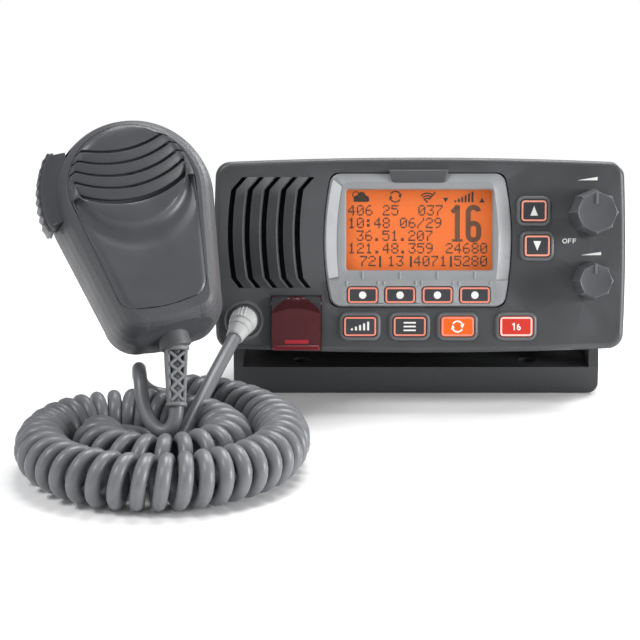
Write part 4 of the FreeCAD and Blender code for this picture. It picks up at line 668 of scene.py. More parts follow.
def build_bezel():
    """The screen's surround: a bevel at its sides, a flat face with a chamfered opening for the
    screen, and a slightly raised lower part with the soft keys' openings."""
    shape = Shape()
    loops = [(bezel_edge(0, 0, 0), 2.4, 2.4), (bezel_edge(0, 0, 0), 0.7, 0.3),
             (bezel_edge(0.35, 0.35, 0.35, 3.3), 0.4, -0.8), (bezel_edge(0.7, 0.7, 0.6, 3.1), 0.3, -1.3),
             (bezel_edge(4.4, 3.3, 1.1, 2.0, 2.4), BEZEL_FACE + 0.12, LOWER_FACE + 0.02),
             (bezel_edge(4.6, 3.5, 1.3, 1.9, 2.4), BEZEL_FACE, LOWER_FACE)]
    vertices = [(x, bezel_depth(upper, lower, z), z) for loop, upper, lower in loops for x, z in loop]
    shape.add((vertices, grid(len(loops), len(loops[0][0]), closed=True)))
    inner = loops[-1][0]
    screen = [(outline(LCD_X, LCD_Z, LCD_W + 2 * g, LCD_H + 2 * g, 1.0 + g, 0, 5, 4), depth) for g, depth in
              ((0.8, BEZEL_FACE), (0.45, BEZEL_FACE + 0.15), (0.0, -0.2), (0.0, 1.8))]
    openings = []
    for x, z, w, h in SOFT_KEYS.values():
        gap = 2 * KEY_CLEAR
        mouth = outline(x, z, w + gap + 0.5, h + gap + 0.5, KEY_CORNER + 0.4, 0, 5, 2)
        throat = outline(x, z, w + gap, h + gap, KEY_CORNER + 0.2, 0, 5, 2)
        openings.append(mouth)
        shape.add(rings([(mouth, LOWER_FACE), (throat, LOWER_FACE + 0.25), (throat, 2.0)], False, False))
    shape.add(rings(screen, False, False))
    # the inner loop, turned to start below the crease, falls into a lower and an upper part
    start = next(i for i in range(len(inner)) if inner[i][1] < CREASE_LOW + NEAR < inner[i - 1][1])
    turned = inner[start:] + inner[:start]
    lower = [p for p in turned if p[1] < CREASE_LOW + NEAR]
    upper = [p for p in turned if p[1] > CREASE_HIGH - NEAR]
    shape.add(holed_face([upper, screen[0][0]], BEZEL_FACE))
    shape.add(holed_face([lower] + openings, LOWER_FACE))
    crease = [(x, face, z) for (x, z), face in ((lower[0], LOWER_FACE), (lower[-1], LOWER_FACE),
                                                (upper[0], BEZEL_FACE), (upper[-1], BEZEL_FACE))]
    shape.add((crease, [(0, 1, 2, 3)]))
    # ribs that lead from the screen to the soft keys
    for x, z, w, h in SOFT_KEYS.values():
        for at, low, high, face in ((x, CREASE_HIGH, -6.4, BEZEL_FACE),
                                    (x - w / 2.0 - 0.2, -12.0, CREASE_LOW, LOWER_FACE),
                                    (x + w / 2.0 + 0.2, -12.0, CREASE_LOW, LOWER_FACE)):
            loop = outline(at, (low + high) / 2.0, 0.9, high - low, 0.3, 0, 3, 1)
            small = outline(at, (low + high) / 2.0, 0.35, high - low - 0.3, 0.1, 0, 3, 1)
            shape.add(rings([(loop, face + 0.1), (small, face - 0.35)]))
    made = shape.make("screen_surround", "bezel", "radio", PANEL, angle=24)
    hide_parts("screen_bezel")


def build_bevel_highlight():
    """A painted highlight: a paler strip along the surround's left bevel, where it catches the light."""
    rows, sides = 25, []
    for loop, low, high, depth in ((bezel_edge(0.8, 0.8, 0.8, 3.0), -9.2, 29.8, 0.22),
                                   (bezel_edge(4.35, 3.2, 1.1, 2.0, 2.4), -8.4, 27.0, BEZEL_FACE + 0.08)):
        flank = sorted((z, x) for x, z in loop if x < BEZEL_X - 20)
        heights = [low + (high - low) * i / (rows - 1) for i in range(rows)]
        sides.append([(interpolated(flank, z), depth, z) for z in heights])
    vertices = [point for pair in zip(*sides) for point in pair]
    piece("screen_bevel_highlight", vertices, grid(rows, 2), "bevel", "radio", PANEL)


def build_tab():
    """The bare tab that hangs over the surround's top edge."""
    tab = [(-12.5, 33.6), (-11.2, 29.2), (-10.2, 28.6), (8.8, 28.6), (9.8, 29.2), (11.1, 33.6)]
    middle, share = 31.15, 0.97
    small = [(x * share - 0.02, middle + (z - middle) * (share - 0.06)) for x, z in tab]
    piece("screen_tab", *rings([(tab, 0.3), (tab, -1.5), (small, -1.8)]), "panel", "radio", PANEL)


# ---- what the screen shows
DIGITS = {"0": "01110 10001 10011 10101 11001 10001 01110", "1": "00100 01100 00100 00100 00100 00100 01110",
          "2": "01110 10001 00001 00110 01000 10000 11111", "3": "11111 00001 00010 00110 00001 10001 01110",
          "4": "00010 00110 01010 10010 11111 00010 00010", "5": "11111 10000 11110 00001 00001 10001 01110",
          "6": "00110 01000 10000 11110 10001 10001 01110", "7": "11111 00001 00010 00100 01000 01000 01000",
          "8": "01110 10001 10001 01110 10001 10001 01110", "9": "01110 10001 10001 01111 00001 00010 01100",
          ".": "00000 00000 00000 00000 00000 01100 01100", ":": "00000 01100 01100 00000 01100 01100 00000",
          "/": "00001 00001 00010 00100 01000 10000 10000"}
DOT_W, DOT_H, DOT_FILL, CHAR_W = 0.565, 0.60, 0.94, 3.42
LCD_INK = LCD_FRONT - 0.08
# each row of figures: height of its top, left end, figures
ROWS = ((19.9, -28.3, "406 25"), (19.9, -0.5, "037"), (14.9, -28.3, "10:48 06/29"),
        (9.85, -25.0, "36.51.207"), (4.85, -28.3, "121.48.359"), (4.85, 10.4, "24680"),
        (-0.2, -23.6, "72"), (-0.2, -12.6, "13"), (-0.2, -2.2, "4071"), (-0.2, 13.8, "5280"))


def dotted(text, x, z):
    """Loops of the lit dots of a row of figures; x and z are its upper left corner."""
    loops = []
    for place, figure in enumerate(text):
        for row, line in enumerate(DIGITS.get(figure, "").split()):
            for column, dot in enumerate(line):
                if dot == "1":
                    left, top = x + place * CHAR_W + column * DOT_W, z - row * DOT_H
                    right, low = left + DOT_W * DOT_FILL, top - DOT_H * DOT_FILL
                    loops.append([(left, low), (right, low), (right, top), (left, top)])
    return loops


def build_screen():
    """Dotted rows of figures, the large channel figures and signs along the top."""
    loops = []
    for z, x, text in ROWS:
        loops += dotted(text, x, z)
    loops += [bar(x, -4.7, x, -0.3, 0.8) for x in (-15.6, -3.4, 12.5)]
    big = [bar(15.0, 5.4, 15.0, 19.9, 2.0), bar(12.8, 17.0, 15.3, 19.5, 1.7), bar(12.9, 5.9, 17.1, 5.9, 1.0),
           bar(19.3, 8.1, 19.3, 16.9, 2.0), arc_stroke(21.4, 16.9, 2.1, 15, 180, 2.0),
           arc_stroke(21.4, 8.2, 2.1, 180, 360, 2.0), bar(23.5, 8.2, 23.5, 10.6, 2.0),
           arc_stroke(21.4, 10.6, 2.1, 0, 180, 2.0)]
    printed("screen_channel", big, LCD_INK, "ink_soft", "radio", 0.02)
    # a cloud and the sun, turning arrows, an aerial and signal bars
    loops += [circle(-24.9, 22.5, 1.3, 14), circle(-23.0, 23.4, 1.7, 14), circle(-21.3, 22.4, 1.3, 14),
              outline(-23.1, 21.8, 6.2, 1.3, 0.5, 0, 3, 1), arc_stroke(-25.3, 24.0, 1.2, 20, 250, 0.4)]
    loops += turning_arrows(-9.6, 23.2, 2.1, 0.55)
    loops += [arc_stroke(3.0, 21.4, r, 55, 140, 0.55) for r in (1.2, 2.2, 3.2)]
    loops += [bar(3.2, 20.9, 1.7, 22.4, 0.6), bar(3.6, 22.0, 6.2, 25.0, 0.6)]
    loops += [bar(14.2 + 1.35 * i, 21.0, 14.2 + 1.35 * i, 21.8 + 0.68 * i, 0.85) for i in range(6)]
    loops += [[(9.2, 22.8), (11.4, 22.8), (10.3, 20.9)], [(23.6, 20.9), (25.8, 20.9), (24.7, 22.8)]]
    printed("screen_figures", loops, LCD_INK, "ink", "radio", 0.02)


# ---- keys
def rim(name, key, section, finish, body):
    """A ring round a key; its section is given as how far outside the key's edge, and depth."""
    x, z, w, h = key
    levels = [(outline(x, z, w + 2 * g, h + 2 * g, KEY_CORNER + g), depth) for g, depth in section]
    piece(name, *rings(levels, False, False), finish, body, PANEL)


def build_keys():
    """A lit rim round each key's face, and a plain sign on it."""
    lights = {"channel_up_key": "orange_lit", "channel_down_key": "orange_lit", "channel_16_key": "pale_lit"}
    keys = {**SOFT_KEYS, **RIMMED_KEYS}
    proud = {name: SOFT_PROUD if name in SOFT_KEYS else KEY_PROUD for name in keys}
    for name, key in keys.items():
        section = [(out, depth - proud[name]) for out, depth in
                   ((-0.12, 0.35), (-0.2, -0.02), (-0.45, -0.1), (-0.75, -0.08), (-0.9, 0.02))]
        rim(name + "_light", key, section, lights.get(name, "lit"), name)
    at = {name: key[:2] for name, key in keys.items()}
    marks = {name: [circle(*at[name], 1.45)] for name in SOFT_KEYS}
    x, z = at["power_level_key"]
    marks["power_level_key"] = [bar(x - 3.2 + 1.6 * i, z - 1.5, x - 3.2 + 1.6 * i, z - 0.7 + 0.65 * i, 0.8)
                                for i in range(5)]
    x, z = at["menu_key"]
    marks["menu_key"] = [bar(x - 2.4, z + lift, x + 2.4, z + lift, 0.6) for lift in (-1.5, 0, 1.5)]
    marks["rewind_key"] = turning_arrows(*at["rewind_key"], 2.1, 0.6)
    marks["channel_16_key"] = figures("16", *at["channel_16_key"], 2.9)
    for name, turn in (("channel_up_key", 1), ("channel_down_key", -1)):
        x, z = at[name]
        marks[name] = [[(x - 1.5, z - 1.9 * turn), (x + 1.5, z - 1.9 * turn), (x, z + 1.9 * turn)]]
    for name, loops in marks.items():
        printed(name + "_sign", loops, -proud[name] - 0.04, "white", name)


def figures(text, x, z, height):
    """Plain stroke figures 1 and 6, centred."""
    wide, thick = height * 0.55, height * 0.16
    loops = []
    for place, figure in enumerate(text):
        left = x + (place - len(text) / 2.0) * wide * 1.25 + wide * 0.12
        if figure == "1":
            stem = left + wide * 0.6
            loops += [bar(stem, z - height / 2.0, stem, z + height / 2.0, thick),
                      bar(left + wide * 0.15, z + height * 0.24, stem, z + height * 0.44, thick)]
        else:
            r, middle, low = (wide - thick) / 2.0, left + wide / 2.0, z + (wide - height) / 2.0
            loops += [arc_stroke(middle, low, r, turn, turn + 180, thick) for turn in (0, 180)]
            loops.append(arc_stroke(middle + r * 0.75, z + height * 0.02 - r * 0.2, r * 1.75, 110, 178,
                                    thick))
    return loops


def build_surrounds():
    """Rounded raised frames round the lower and the channel keys."""
    section = ((1.75, 0.1), (1.6, -0.35), (1.3, -0.8), (0.95, -1.0), (0.55, -1.0), (0.3, -0.85),
               (0.17, -0.5), (0.17, 0.4))
    for name, key in RIMMED_KEYS.items():
        rim(name + "_surround", key, section, "surround", "radio")


# ---- rotary knobs
KNOB_STEPS, SCALLOP = 120, 0.10


def build_knobs():
    """Dials with a scalloped side and a pointer let into the front."""
    # height above the panel, share of the radius and share of the scallops' depth
    profile = ((0.0, 0.97, 0.9), (0.6, 1.0, 1.0), (9.0, 0.93, 1.2), (11.4, 0.90, 1.2), (12.4, 0.865, 0.9),
               (12.9, 0.82, 0.5), (13.0, 0.77, 0.15), (12.75, 0.70, 0.0))
    turns = [2 * math.pi * i / KNOB_STEPS for i in range(KNOB_STEPS)]
    for name, (x, z, r) in KNOBS.items():
        levels = []
        for height, share, depth in profile:
            reach = [r * (share - SCALLOP * depth * abs(math.sin(KNOB_LOBES * a / 2.0)) ** 0.6)
                     for a in turns]
            levels.append(([(x + far * math.sin(a), z + far * math.cos(a)) for a, far in zip(turns, reach)],
                           -KNOB_AIR - height))
        made = piece(name + "_cap", *rings(levels, True, True), "knob", name, PANEL, angle=35)
        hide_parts(name + "_knob")
        front = -KNOB_AIR - KNOB_HEIGHT
        loop = outline(x, z + r * 0.60, r * 0.11, r * 0.52, 0.3, 0, 3, 1)
        piece(name + "_pointer", *rings([(loop, front + 0.6), (loop, front - 0.3)]), "surround", name, PANEL)


def build_dial_marks():
    """OFF at the volume dial's left stop, and a growing wedge over each dial."""
    left, low, high, thick = 56.3, 4.7, 6.6, 0.28
    middle = (low + high) / 2.0
    loops = [arc_stroke(left + 0.8, middle, 0.8, turn, turn + 180, thick, 12) for turn in (0, 180)]
    for stem in (left + 2.2, left + 4.1):
        loops += [bar(stem, low, stem, high, thick), bar(stem, high - 0.15, stem + 1.2, high - 0.15, thick),
                  bar(stem, middle, stem + 1.0, middle, thick)]
    loops += [[(x - 4.0, z - 0.55), (x + 4.0, z - 0.55), (x + 4.0, z + 0.75)]
              for x, z in ((65.9, 30.1), (67.5, 0.6))]
    printed("dial_marks", loops, -0.03, "white", "radio")


# ---- distress cover
COVER_MIDDLE, COVER_HALF = (COVER_LEFT + COVER_RIGHT) / 2.0, (COVER_RIGHT - COVER_LEFT) / 2.0
COVER_COLUMNS, COVER_FRONT = 28, -2.3
ROLL_R = 2.93            # of the rolled top about the hinge
ARCH_FALL, ARCH_BEND = 5.8, 2.2      # how far and how fast the arched edge falls to the sides


def on_roll(across, up, lift):
    """A point lifted off the flap's front and rolled top, at a height over the hinge; across runs
    from -1 to 1."""
    r = ROLL_R + lift
    depth = HINGE_DEPTH - math.sqrt(max(r ** 2 - up ** 2, 0.0)) if up > 0 else COVER_FRONT - lift - 0.03
    return COVER_MIDDLE + COVER_HALF * across, depth, HINGE_Z + up


def build_distress():
    """A flap of red see-through plastic: a flat front, a top that rolls back round the hinge with
    painted shade under its arched edge, and a grip along its foot."""
    spread = [2 * i / COVER_COLUMNS - 1 for i in range(COVER_COLUMNS + 1)]

    def row(front, z, narrow=0.0):
        return [(COVER_MIDDLE + (COVER_HALF - narrow) * across, front, z) for across in spread]

    rows = [row(-0.9, COVER_BOTTOM + 0.1, 0.3), row(-2.0, COVER_BOTTOM + 0.1, 0.3),
            row(COVER_FRONT, COVER_BOTTOM + 0.5), row(COVER_FRONT, HINGE_Z - 3.0),
            row(COVER_FRONT, HINGE_Z - 1.0)]
    for turn in range(0, 100, 12):
        a = math.radians(turn)
        rows.append(row(HINGE_DEPTH - ROLL_R * math.cos(a), HINGE_Z + ROLL_R * math.sin(a)))
    rows += [row(HINGE_DEPTH, HINGE_Z - 1.0), row(-0.8, HINGE_Z - 1.4)]
    n, count = len(spread), len(rows)
    last = (count - 1) * n
    faces = grid(count, n) + [(last + i, last + i + 1, i + 1, i) for i in range(n - 1)]
    faces += [tuple(r * n for r in range(count)), tuple(r * n + n - 1 for r in reversed(range(count)))]
    made = piece("distress_flap", [p for line in rows for p in line], faces, "cover", "distress_cover", PANEL,
                 angle=30)
    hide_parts("distress_cover")
    lip = outline(COVER_MIDDLE, COVER_BOTTOM + 1.2, 18.4, 1.9, 0.7)
    slim = outline(COVER_MIDDLE, COVER_BOTTOM + 1.2, 17.6, 1.1, 0.4)
    piece("distress_flap_grip", *rings([(lip, -2.2), (lip, -3.0), (slim, -3.5)], True, True), "grip_red",
          "distress_cover", PANEL, angle=30)
    # painted shade under the arched edge: a dark red sheet that follows the rolled top
    vertices = []
    for share in (0.0, 0.25, 0.5, 0.75, 1.0):
        for across in (0.955 * place for place in spread):
            high, low = 2.4 - ARCH_FALL * abs(across) ** ARCH_BEND, -2.0 - 2.0 * across ** 2
            vertices.append(on_roll(across, high + (low - high) * share, 0.06))
    piece("distress_flap_painted_shade", vertices, grid(5, n), "shade_red", "distress_cover", PANEL)
    # outside the arch the rolled top is a grey darker than the panel's: painted shade that keeps its lit top
    # as dark as the panel round it
    for name, side in (("left", -1), ("right", 1)):
        vertices = []
        for k in range(9):
            across = side * (0.30 + 0.70 * k / 8.0)
            foot = 2.75 - ARCH_FALL * abs(across) ** ARCH_BEND
            vertices += [on_roll(across, foot + (3.03 - foot) * m / 6.0, 0.11) for m in range(7)]
        piece("distress_flap_shaded_corner_" + name, vertices, grid(9, 7), "recess_shade", "distress_cover", PANEL)
    # a painted highlight: a bright red patch with a faint glow just above the grip
    patch = outline(COVER_MIDDLE + 0.2, COVER_BOTTOM + 3.5, 9.4, 1.5, 0.3)
    piece("distress_flap_highlight", *prism(patch, -2.4, -2.25), "bright_red", "distress_cover", PANEL)


# ---- microphone plug
PLUG_STEP = 0.25
# the boot's radius at each share of its length: two grooves, a waist and a taper
PLUG_PROFILE = ((0.0, 4.1), (0.15, 4.1), (0.16, 5.25), (0.30, 5.35), (0.31, 5.0), (0.335, 5.0),
                (0.345, 5.35), (0.47, 5.3), (0.48, 4.95), (0.505, 4.95), (0.515, 5.25), (0.62, 5.0),
                (0.63, 4.6), (0.74, 4.35), (0.76, 3.95), (0.97, 3.4), (1.0, 3.05))


def build_plug():
    """The plug's boot, which bends from the socket to the cord, with ribs on its upper side."""
    start, neck, bend = (Vector((SOCKET_X, depth, SOCKET_Z)) for depth in (3.0, -1.0, -7.5))
    end = PLUG_HEAD + PLUG_AIM * (PLUG_NECK + 0.6)
    line = spaced(smooth_line("plug", [start, neck, bend, bend.lerp(end, 0.5), end]), PLUG_STEP)
    total = length_of(line)

    def radius(i):
        return interpolated(PLUG_PROFILE, min(i * PLUG_STEP / total, 1.0))

    made = piece("plug_boot", *sweep(line, 1.0, 36, radius), "plug", "radio", PANEL, angle=25)
    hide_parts("mic_plug")
    shape = Shape()
    for turn in (-14, 0, 14):
        rib = []
        for i in range(len(line)):
            if 0.32 < i / len(line) < 0.62:
                ahead = (line[min(i + 1, len(line) - 1)] - line[i - 1]).normalized()
                across = ahead.cross(Vector((1, 0, 0))).normalized()
                if across.z < 0:
                    across = -across
                out = Matrix.Rotation(math.radians(turn), 3, ahead) @ across
                rib.append(line[i] + out * (radius(i) + 0.05))
        shape.add(sweep(rib[::2], 0.28, 8))
    shape.make("plug_ribs", "plug", "radio", PANEL)
    levels = [(circle(SOCKET_X, SOCKET_Z, r, 40), depth) for r, depth in
              ((8.0, 0.05), (7.7, -0.35), (7.1, -0.55), (6.6, -0.45), (6.35, -0.1), (6.2, 0.6))]
    piece("socket_rim", *rings(levels, False, False), "surround", "radio", PANEL)


# ==== microphone
def flank_angle(foot, drop, r):
    """The angle on a round top of that radius at which a straight flank from the foot meets it."""
    return math.atan2(drop, foot) + math.acos(r / math.hypot(foot, drop))


def egg(r, foot, foot_z, corner, low, count=20):
    """Points round the microphone's plate: round top, straight flanks and rounded lower corners."""
    swing = flank_angle(foot, foot_z - PLATE_TOP_Z, r)
    points = []
    for i in range(count * 2 + 1):
        a = swing + (math.pi - 2 * swing) * i / (count * 2)
        points.append((r * math.cos(a), PLATE_TOP_Z + r * math.sin(a)))
    left = [(-foot, foot_z)]
    for i in range(1, 7):
        a = math.radians(180 + 90.0 * i / 6)
        left.append((-foot + corner * (1 + math.cos(a)),
                     low + 0.6 + (foot_z - low - 0.6) * (1 + math.sin(a))))
    flank = [(points[-1][0] + (left[0][0] - points[-1][0]) * i / 10,
              points[-1][1] + (left[0][1] - points[-1][1]) * i / 10) for i in range(1, 10)]
    half = points[count:] + flank + left + [(x, low + 0.6 - 0.6 * (1 - abs(x) / (foot - corner)))
                                            for x in (-(foot - corner) * 0.66, -(foot - corner) * 0.33, 0.0)]
    return half + [(-x, z) for x, z in reversed(half[1:-1])]


TURN_WIDE = 2.5          # the width at each end over which a ledge turns down
EASE_WIDE = 1.4          # and over which it comes to the edge's level
FACE_COLUMNS, FACE_REACH = 44, 23.0
FACE_EDGE, FACE_BACK = 15.05, 12.65      # how far out the face's edge and its back lie


def face_rows():
    """Rows across the face from top to foot: height at the middle, radius of the smile, how far
    out of the microphone's axis, and how far the row's ends turn down."""
    rows = [(79.2, 15.1, 0.0), (78.4, 15.3, 0.0), (76.6, 15.5, 0.0), (74.6, 15.6, 0.4), (71.6, 15.6, 1.0)]
    for gap, lip in ((69.6, 15.35), (65.1, 15.0), (60.5, 15.0), (55.9, 15.0)):
        rows += [(gap + rise, proud, 2.5) for rise, proud in
                 ((0.75, lip), (0.6, lip - 0.15), (0.5, 13.9), (-0.45, 13.7), (-0.55, 15.5), (-0.85, 15.85),
                  (-1.2, 15.75))]
    rows += [(51.9, 14.9, 2.5), (51.7, 14.7, 2.5), (51.5, 13.6, 2.5)]
    rows = [(height, 38.0, proud, turn) for height, proud, turn in rows]
    rows += [(49.9, 36.0, 13.4, 2.4), (49.7, 36.0, 15.6, 2.4), (49.3, 35.0, 15.95, 2.0),
             (48.4, 32.0, 16.1, 1.2), (45.8, 25.0, 16.1, 0.4)]
    return rows + [(height, smile, proud, 0.0) for height, smile, proud in (
        (43.0, 21.0, 16.0), (42.3, 20.5, 15.7), (41.4, 20.5, 14.7), (39.6, 20.5, 13.8), (37.2, 21.0, 13.5),
        (35.0, 22.0, 13.9), (33.0, 23.0, 14.7), (31.0, 26.0, 15.3), (28.0, 32.0, 15.5), (22.0, 50.0, 15.55),
        (18.4, 70.0, 15.55), (16.5, 80.0, 15.5), (14.8, 95.0, 15.5), (13.4, 110.0, 15.5),
        (12.4, 120.0, 15.45), (11.7, 140.0, 15.35), (11.15, 150.0, 15.1))]


def dome_drop(x, z):
    """How far the shell's pillow form lies behind its face at a point of the face's plane."""
    swing = flank_angle(MIC_FOOT_HALF, MIC_FOOT_Z - MIC_TOP_Z, MIC_R)
    x, up = abs(x), z - MIC_TOP_Z
    far = math.hypot(x, up) if math.atan2(up, x) > swing else x * math.cos(swing) + up * math.sin(swing)
    return interpolated(MIC_FRONT_ROUND, MIC_R - far)


def inside_egg(x, z, loop):
    within = False
    for (x0, z0), (x1, z1) in zip(loop, loop[1:] + loop[:1]):
        if (z0 > z) != (z1 > z) and x < x0 + (x1 - x0) * (z - z0) / (z1 - z0):
            within = not within
    return within


def build_mic_face():
    """The face plate: five smile-shaped ledges over a hollow for the thumb and a bare field."""
    loop = egg(PLATE_R, PLATE_FOOT_HALF, PLATE_FOOT_Z, PLATE_CORNER, PLATE_LOW)
    rows = face_rows()
    vertices = []
    for height, smile, proud, turn in rows:
        def at(x):
            return height + (1 - math.sqrt(max(1 - (x / smile) ** 2, 0.0))) * smile
        # how far the row reaches before it leaves the plate, found by halving
        low, high = 0.0, FACE_REACH
        for _ in range(24):
            reach = (low + high) / 2.0
            low, high = (reach, high) if inside_egg(reach, at(reach) - turn, loop) else (low, reach)
        for i in range(FACE_COLUMNS + 1):
            share = math.sin(math.pi * (i / FACE_COLUMNS - 0.5))
            x, room = low * share, low * (1 - abs(share))
            ease = min(room / EASE_WIDE, 1.0)
            ease = ease * ease * (3 - 2 * ease)
            z = at(x) - turn * max(1 - room / TURN_WIDE, 0.0)
            depth = FACE_EDGE + (proud - FACE_EDGE) * ease - dome_drop(x + PLATE_X, z)
            vertices.append((x + PLATE_X, -depth, z))
    n, count = FACE_COLUMNS + 1, len(rows)
    faces = grid(count, n)
    border = list(range(n)) + [r * n + n - 1 for r in range(1, count)]
    border += [(count - 1) * n + i for i in range(n - 2, -1, -1)] + [r * n for r in range(count - 2, 0, -1)]
    start = len(vertices)
    vertices += [(vertices[k][0], -FACE_BACK, vertices[k][2]) for k in border]
    for k in range(len(border)):
        j = (k + 1) % len(border)
        faces.append((border[k], border[j], start + j, start + k))
    faces.append(tuple(range(start, start + len(border))))
    made = piece("mic_face", vertices, faces, "mic_plate", "microphone", MIC, angle=32)
    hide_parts("mic_face_plate")
    # painted shade: black blocks at the foot of two ledge gaps stand for the dark inside of the sound holes
    shape = Shape()
    for x, z in ((-1.6, 60.4), (-1.4, 55.8)):
        shape.add(prism(outline(x, z, 2.6, 1.0, 0.4), -13.9, -13.4))
    shape.make("mic_sound_hole_shade", "hole_shade", "microphone", MIC)


PTT_CENTRE_Z, PTT_R, PTT_FROM, PTT_TO, PTT_RIBS = 56.0, 34.9, 140.5, 192.0, 9
PTT_PAD_R = PTT_R - 1.2
# its stem in the shell, and its overlap's underside
PTT_LOW, PTT_HIGH, PTT_IN, PTT_LAP_R = 51.05, 75.95, 9.0, 32.2


def ptt_contour(outer, inset, rib):
    """The bar seen from the front: a ribbed arc outside, its lapped ends and its stem."""
    points = []
    steps = PTT_RIBS * 6
    for i in range(steps + 1):
        t = i / steps
        a = math.radians(PTT_FROM + inset * 1.6 + (PTT_TO - PTT_FROM - 3.2 * inset) * t)
        end = min(min(t, 1 - t) / 0.12, 1.0)
        wave = 0.36 * rib * (math.cos(2 * math.pi * PTT_RIBS * t) - 1) * end
        r = outer - inset - 0.6 * (1 - end) ** 2 + wave
        points.append((r * math.cos(a), PTT_CENTRE_Z + r * math.sin(a)))
    for turn, lap in ((PTT_TO, PTT_LOW), (PTT_FROM, PTT_HIGH)):
        a = math.radians(turn)
        under = (PTT_LAP_R * math.cos(a), PTT_CENTRE_Z + PTT_LAP_R * math.sin(a))
        root = (-math.sqrt(PTT_LAP_R ** 2 - (lap - PTT_CENTRE_Z) ** 2), lap)
        stem = (PTT_IN - MIC_R, lap)
        points += [under, root, stem] if lap == PTT_LOW else [stem, root, under]
    return points


def build_ptt():
    """The push-to-talk bar: a smooth pad and, outside it, a ribbed strip."""
    shape = Shape()
    half = PTT_WIDTH / 2.0
    # from one end of the bar's width: inset, share of the ribs, and distance from the end
    for outer, reach, ends in ((PTT_PAD_R, half, ((0.45, 0, 0.0), (0.15, 0, 0.5), (0, 0, 1.2))),
                               (PTT_R, half - 1.7, ((0.5, 0.6, 0.0), (0.1, 1, 0.5), (0, 1, 1.0)))):
        levels = [(ptt_contour(outer, inset, rib), gap - reach) for inset, rib, gap in ends]
        levels += [(ptt_contour(outer, inset, rib), reach - gap) for inset, rib, gap in reversed(ends)]
        shape.add(rings(levels, True, True))
    made = shape.make("talk_bar", "mic_plate", "ptt_button", MIC, angle=35)
    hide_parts("mic_ptt_button")


# ---- strain relief
RELIEF_CELLS, RELIEF_TAPER = 4, 0.24
RAIL_STEPS, RAIL_SIDES = 12, 12
RAIL_X, RAIL_HALF, RAIL_DEEP = 3.35, 0.95, 2.7
BAR_R, BAR_X, BAR_OUT = 0.62, 2.7, 2.55


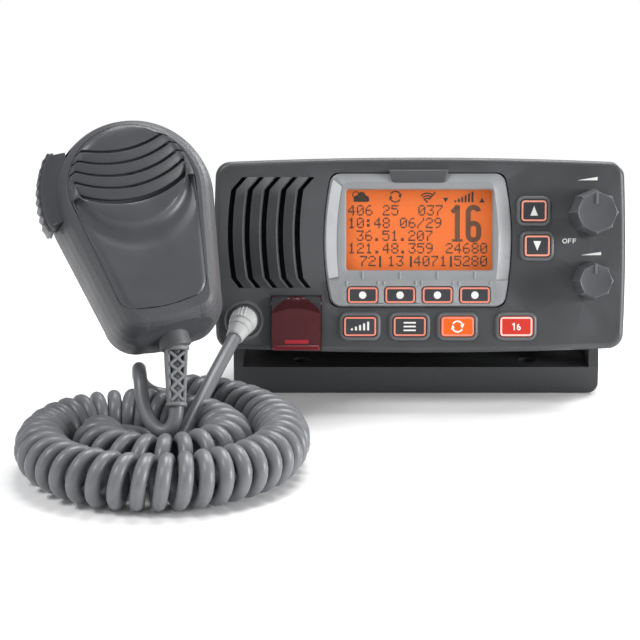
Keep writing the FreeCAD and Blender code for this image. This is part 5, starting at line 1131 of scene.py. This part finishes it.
def build_relief():
    """A dark collar and a tapered sleeve: two rails joined by crossed bars round the cord."""
    collar = [(circle(0, 0, r, 36), z) for r, z in
              ((5.0, COLLAR_LOW), (5.5, COLLAR_LOW + 0.25), (COLLAR_R - 0.05, COLLAR_LOW + 0.9),
               (COLLAR_R - 0.05, COLLAR_HIGH))]
    vertices = [(x, y, z) for loop, z in collar for x, y in loop]
    made = piece("relief_collar", vertices, rings(collar, True, True)[1], "collar", "microphone", MIC)
    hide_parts("mic_strain_relief")
    top = relief_top()
    run = RELIEF_END - top
    along = run.normalized()
    across = (MIC.to_3x3() @ Vector((1, 0, 0))).normalized()
    across = (across - along * across.dot(along)).normalized()
    outward = across.cross(along)
    if outward.y > 0:
        outward = -outward
    length = run.length

    def spot(t, side, out):
        """Along the sleeve from 0 to 1, with its taper taken into side and out."""
        taper = 1.0 - RELIEF_TAPER * t
        return top + along * (length * t) + across * (side * taper) + outward * (out * taper)

    def squared(value):
        return math.copysign(abs(value) ** 0.6, value)

    shape = Shape()
    turns = [2 * math.pi * m / RAIL_SIDES for m in range(RAIL_SIDES)]
    end = RAIL_STEPS * RAIL_SIDES
    faces = grid(RAIL_STEPS + 1, RAIL_SIDES, closed=True)
    faces += [tuple(range(RAIL_SIDES)), tuple(range(end, end + RAIL_SIDES))]
    for side in (-1, 1):
        section = [(side * RAIL_X + RAIL_HALF * squared(math.cos(a)), RAIL_DEEP * squared(math.sin(a)))
                   for a in turns]
        rail = [spot(k / RAIL_STEPS, *at) for k in range(RAIL_STEPS + 1) for at in section]
        shape.add((rail, faces))
    first, last = 0.12, 0.93
    for out in (BAR_OUT, -BAR_OUT):
        proud = out + math.copysign(0.25, out)
        for cell in range(RELIEF_CELLS):
            t0, t1 = (first + (last - first) * place / RELIEF_CELLS for place in (cell, cell + 1))
            for side in (-BAR_X, BAR_X):
                stroke = [spot(t0, side, out), spot((t0 + t1) / 2.0, 0, proud), spot(t1, -side, out)]
                shape.add(sweep(stroke, BAR_R, 8))
    for t0, t1, r in ((0.0, 0.09, 4.9), (0.95, 1.03, 3.8)):
        line = [top + along * (length * (t0 + (t1 - t0) * k / 8.0)) for k in range(9)]
        shape.add(sweep(line, r, 28, lambda i: 1.0 - 0.18 * abs(i / 4.0 - 1) ** 4))
    shape.make("relief_sleeve", "sleeve", "microphone")
    core = [top + along * (length * k / 10.0) for k in range(11)]
    piece("relief_core", *sweep(core, 2.3, 16), "knob", "microphone")


# ==== back of the set
THREAD_TURNS, THREAD_PITCH, THREAD_R = 11, 1.3, 8.25
FLANGE_BACK, THREAD_FROM = 8.8, 2.6      # from the socket's middle to its flange, and on to the first turn


def build_back():
    """Thread on the antenna socket."""
    shape = Shape()
    low, high = (Vector(corner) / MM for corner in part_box("antenna_socket"))
    way = (PANEL.to_3x3() @ Vector((0, 1, 0))).normalized()
    flange = (low + high) / 2.0 - way * FLANGE_BACK
    for i in range(THREAD_TURNS):
        at = flange + way * (THREAD_FROM + THREAD_PITCH * i)
        line = [at + way * step for step in (-0.45, -0.2, 0.0, 0.2, 0.45)]
        shape.add(sweep(line, THREAD_R, 40, lambda k: 1.0 - 0.035 * abs(k / 2.0 - 1) ** 1.5))
    shape.make("antenna_thread", "nickel", "radio")


def build_floor():
    """A pale floor that fades out to the white behind it."""
    side, near, far, level = 3, -3, 4, -0.0002
    mesh = bpy.data.meshes.new("floor")
    mesh.from_pydata([(-side, near, level), (side, near, level), (side, far, level), (-side, far, level)],
                     [], [(0, 1, 2, 3)])
    floor = placed("floor", mesh)
    surface = material("floor", "#fafafa", 0.7, vary=0.01)
    mesh.materials.append(surface)
    tree = surface.node_tree
    place, clear, mix = (add_node(tree, kind) for kind in ("TexCoord", "BsdfTransparent", "MixShader"))
    reach = add_node(tree, "VectorMath")
    reach.operation = "LENGTH"
    fade = add_node(tree, "MapRange", From_Min=0.20, From_Max=0.52)
    fade.interpolation_type = "SMOOTHSTEP"
    join(tree, (place, "Object", reach, 0), (reach, "Value", fade, "Value"), (fade, "Result", mix, 0),
         (tree.nodes["Principled BSDF"], 0, mix, 1), (clear, 0, mix, 2),
         (mix, 0, tree.nodes["Material Output"], "Surface"))


for build in (build_camera, build_light, dress_cad, build_cords, build_louvres, build_bezel, build_bevel_highlight,
              build_tab, build_screen, build_keys, build_surrounds, build_knobs, build_dial_marks,
              build_distress, build_plug, build_mic_face, build_ptt, build_relief, build_back, build_floor):
    build()
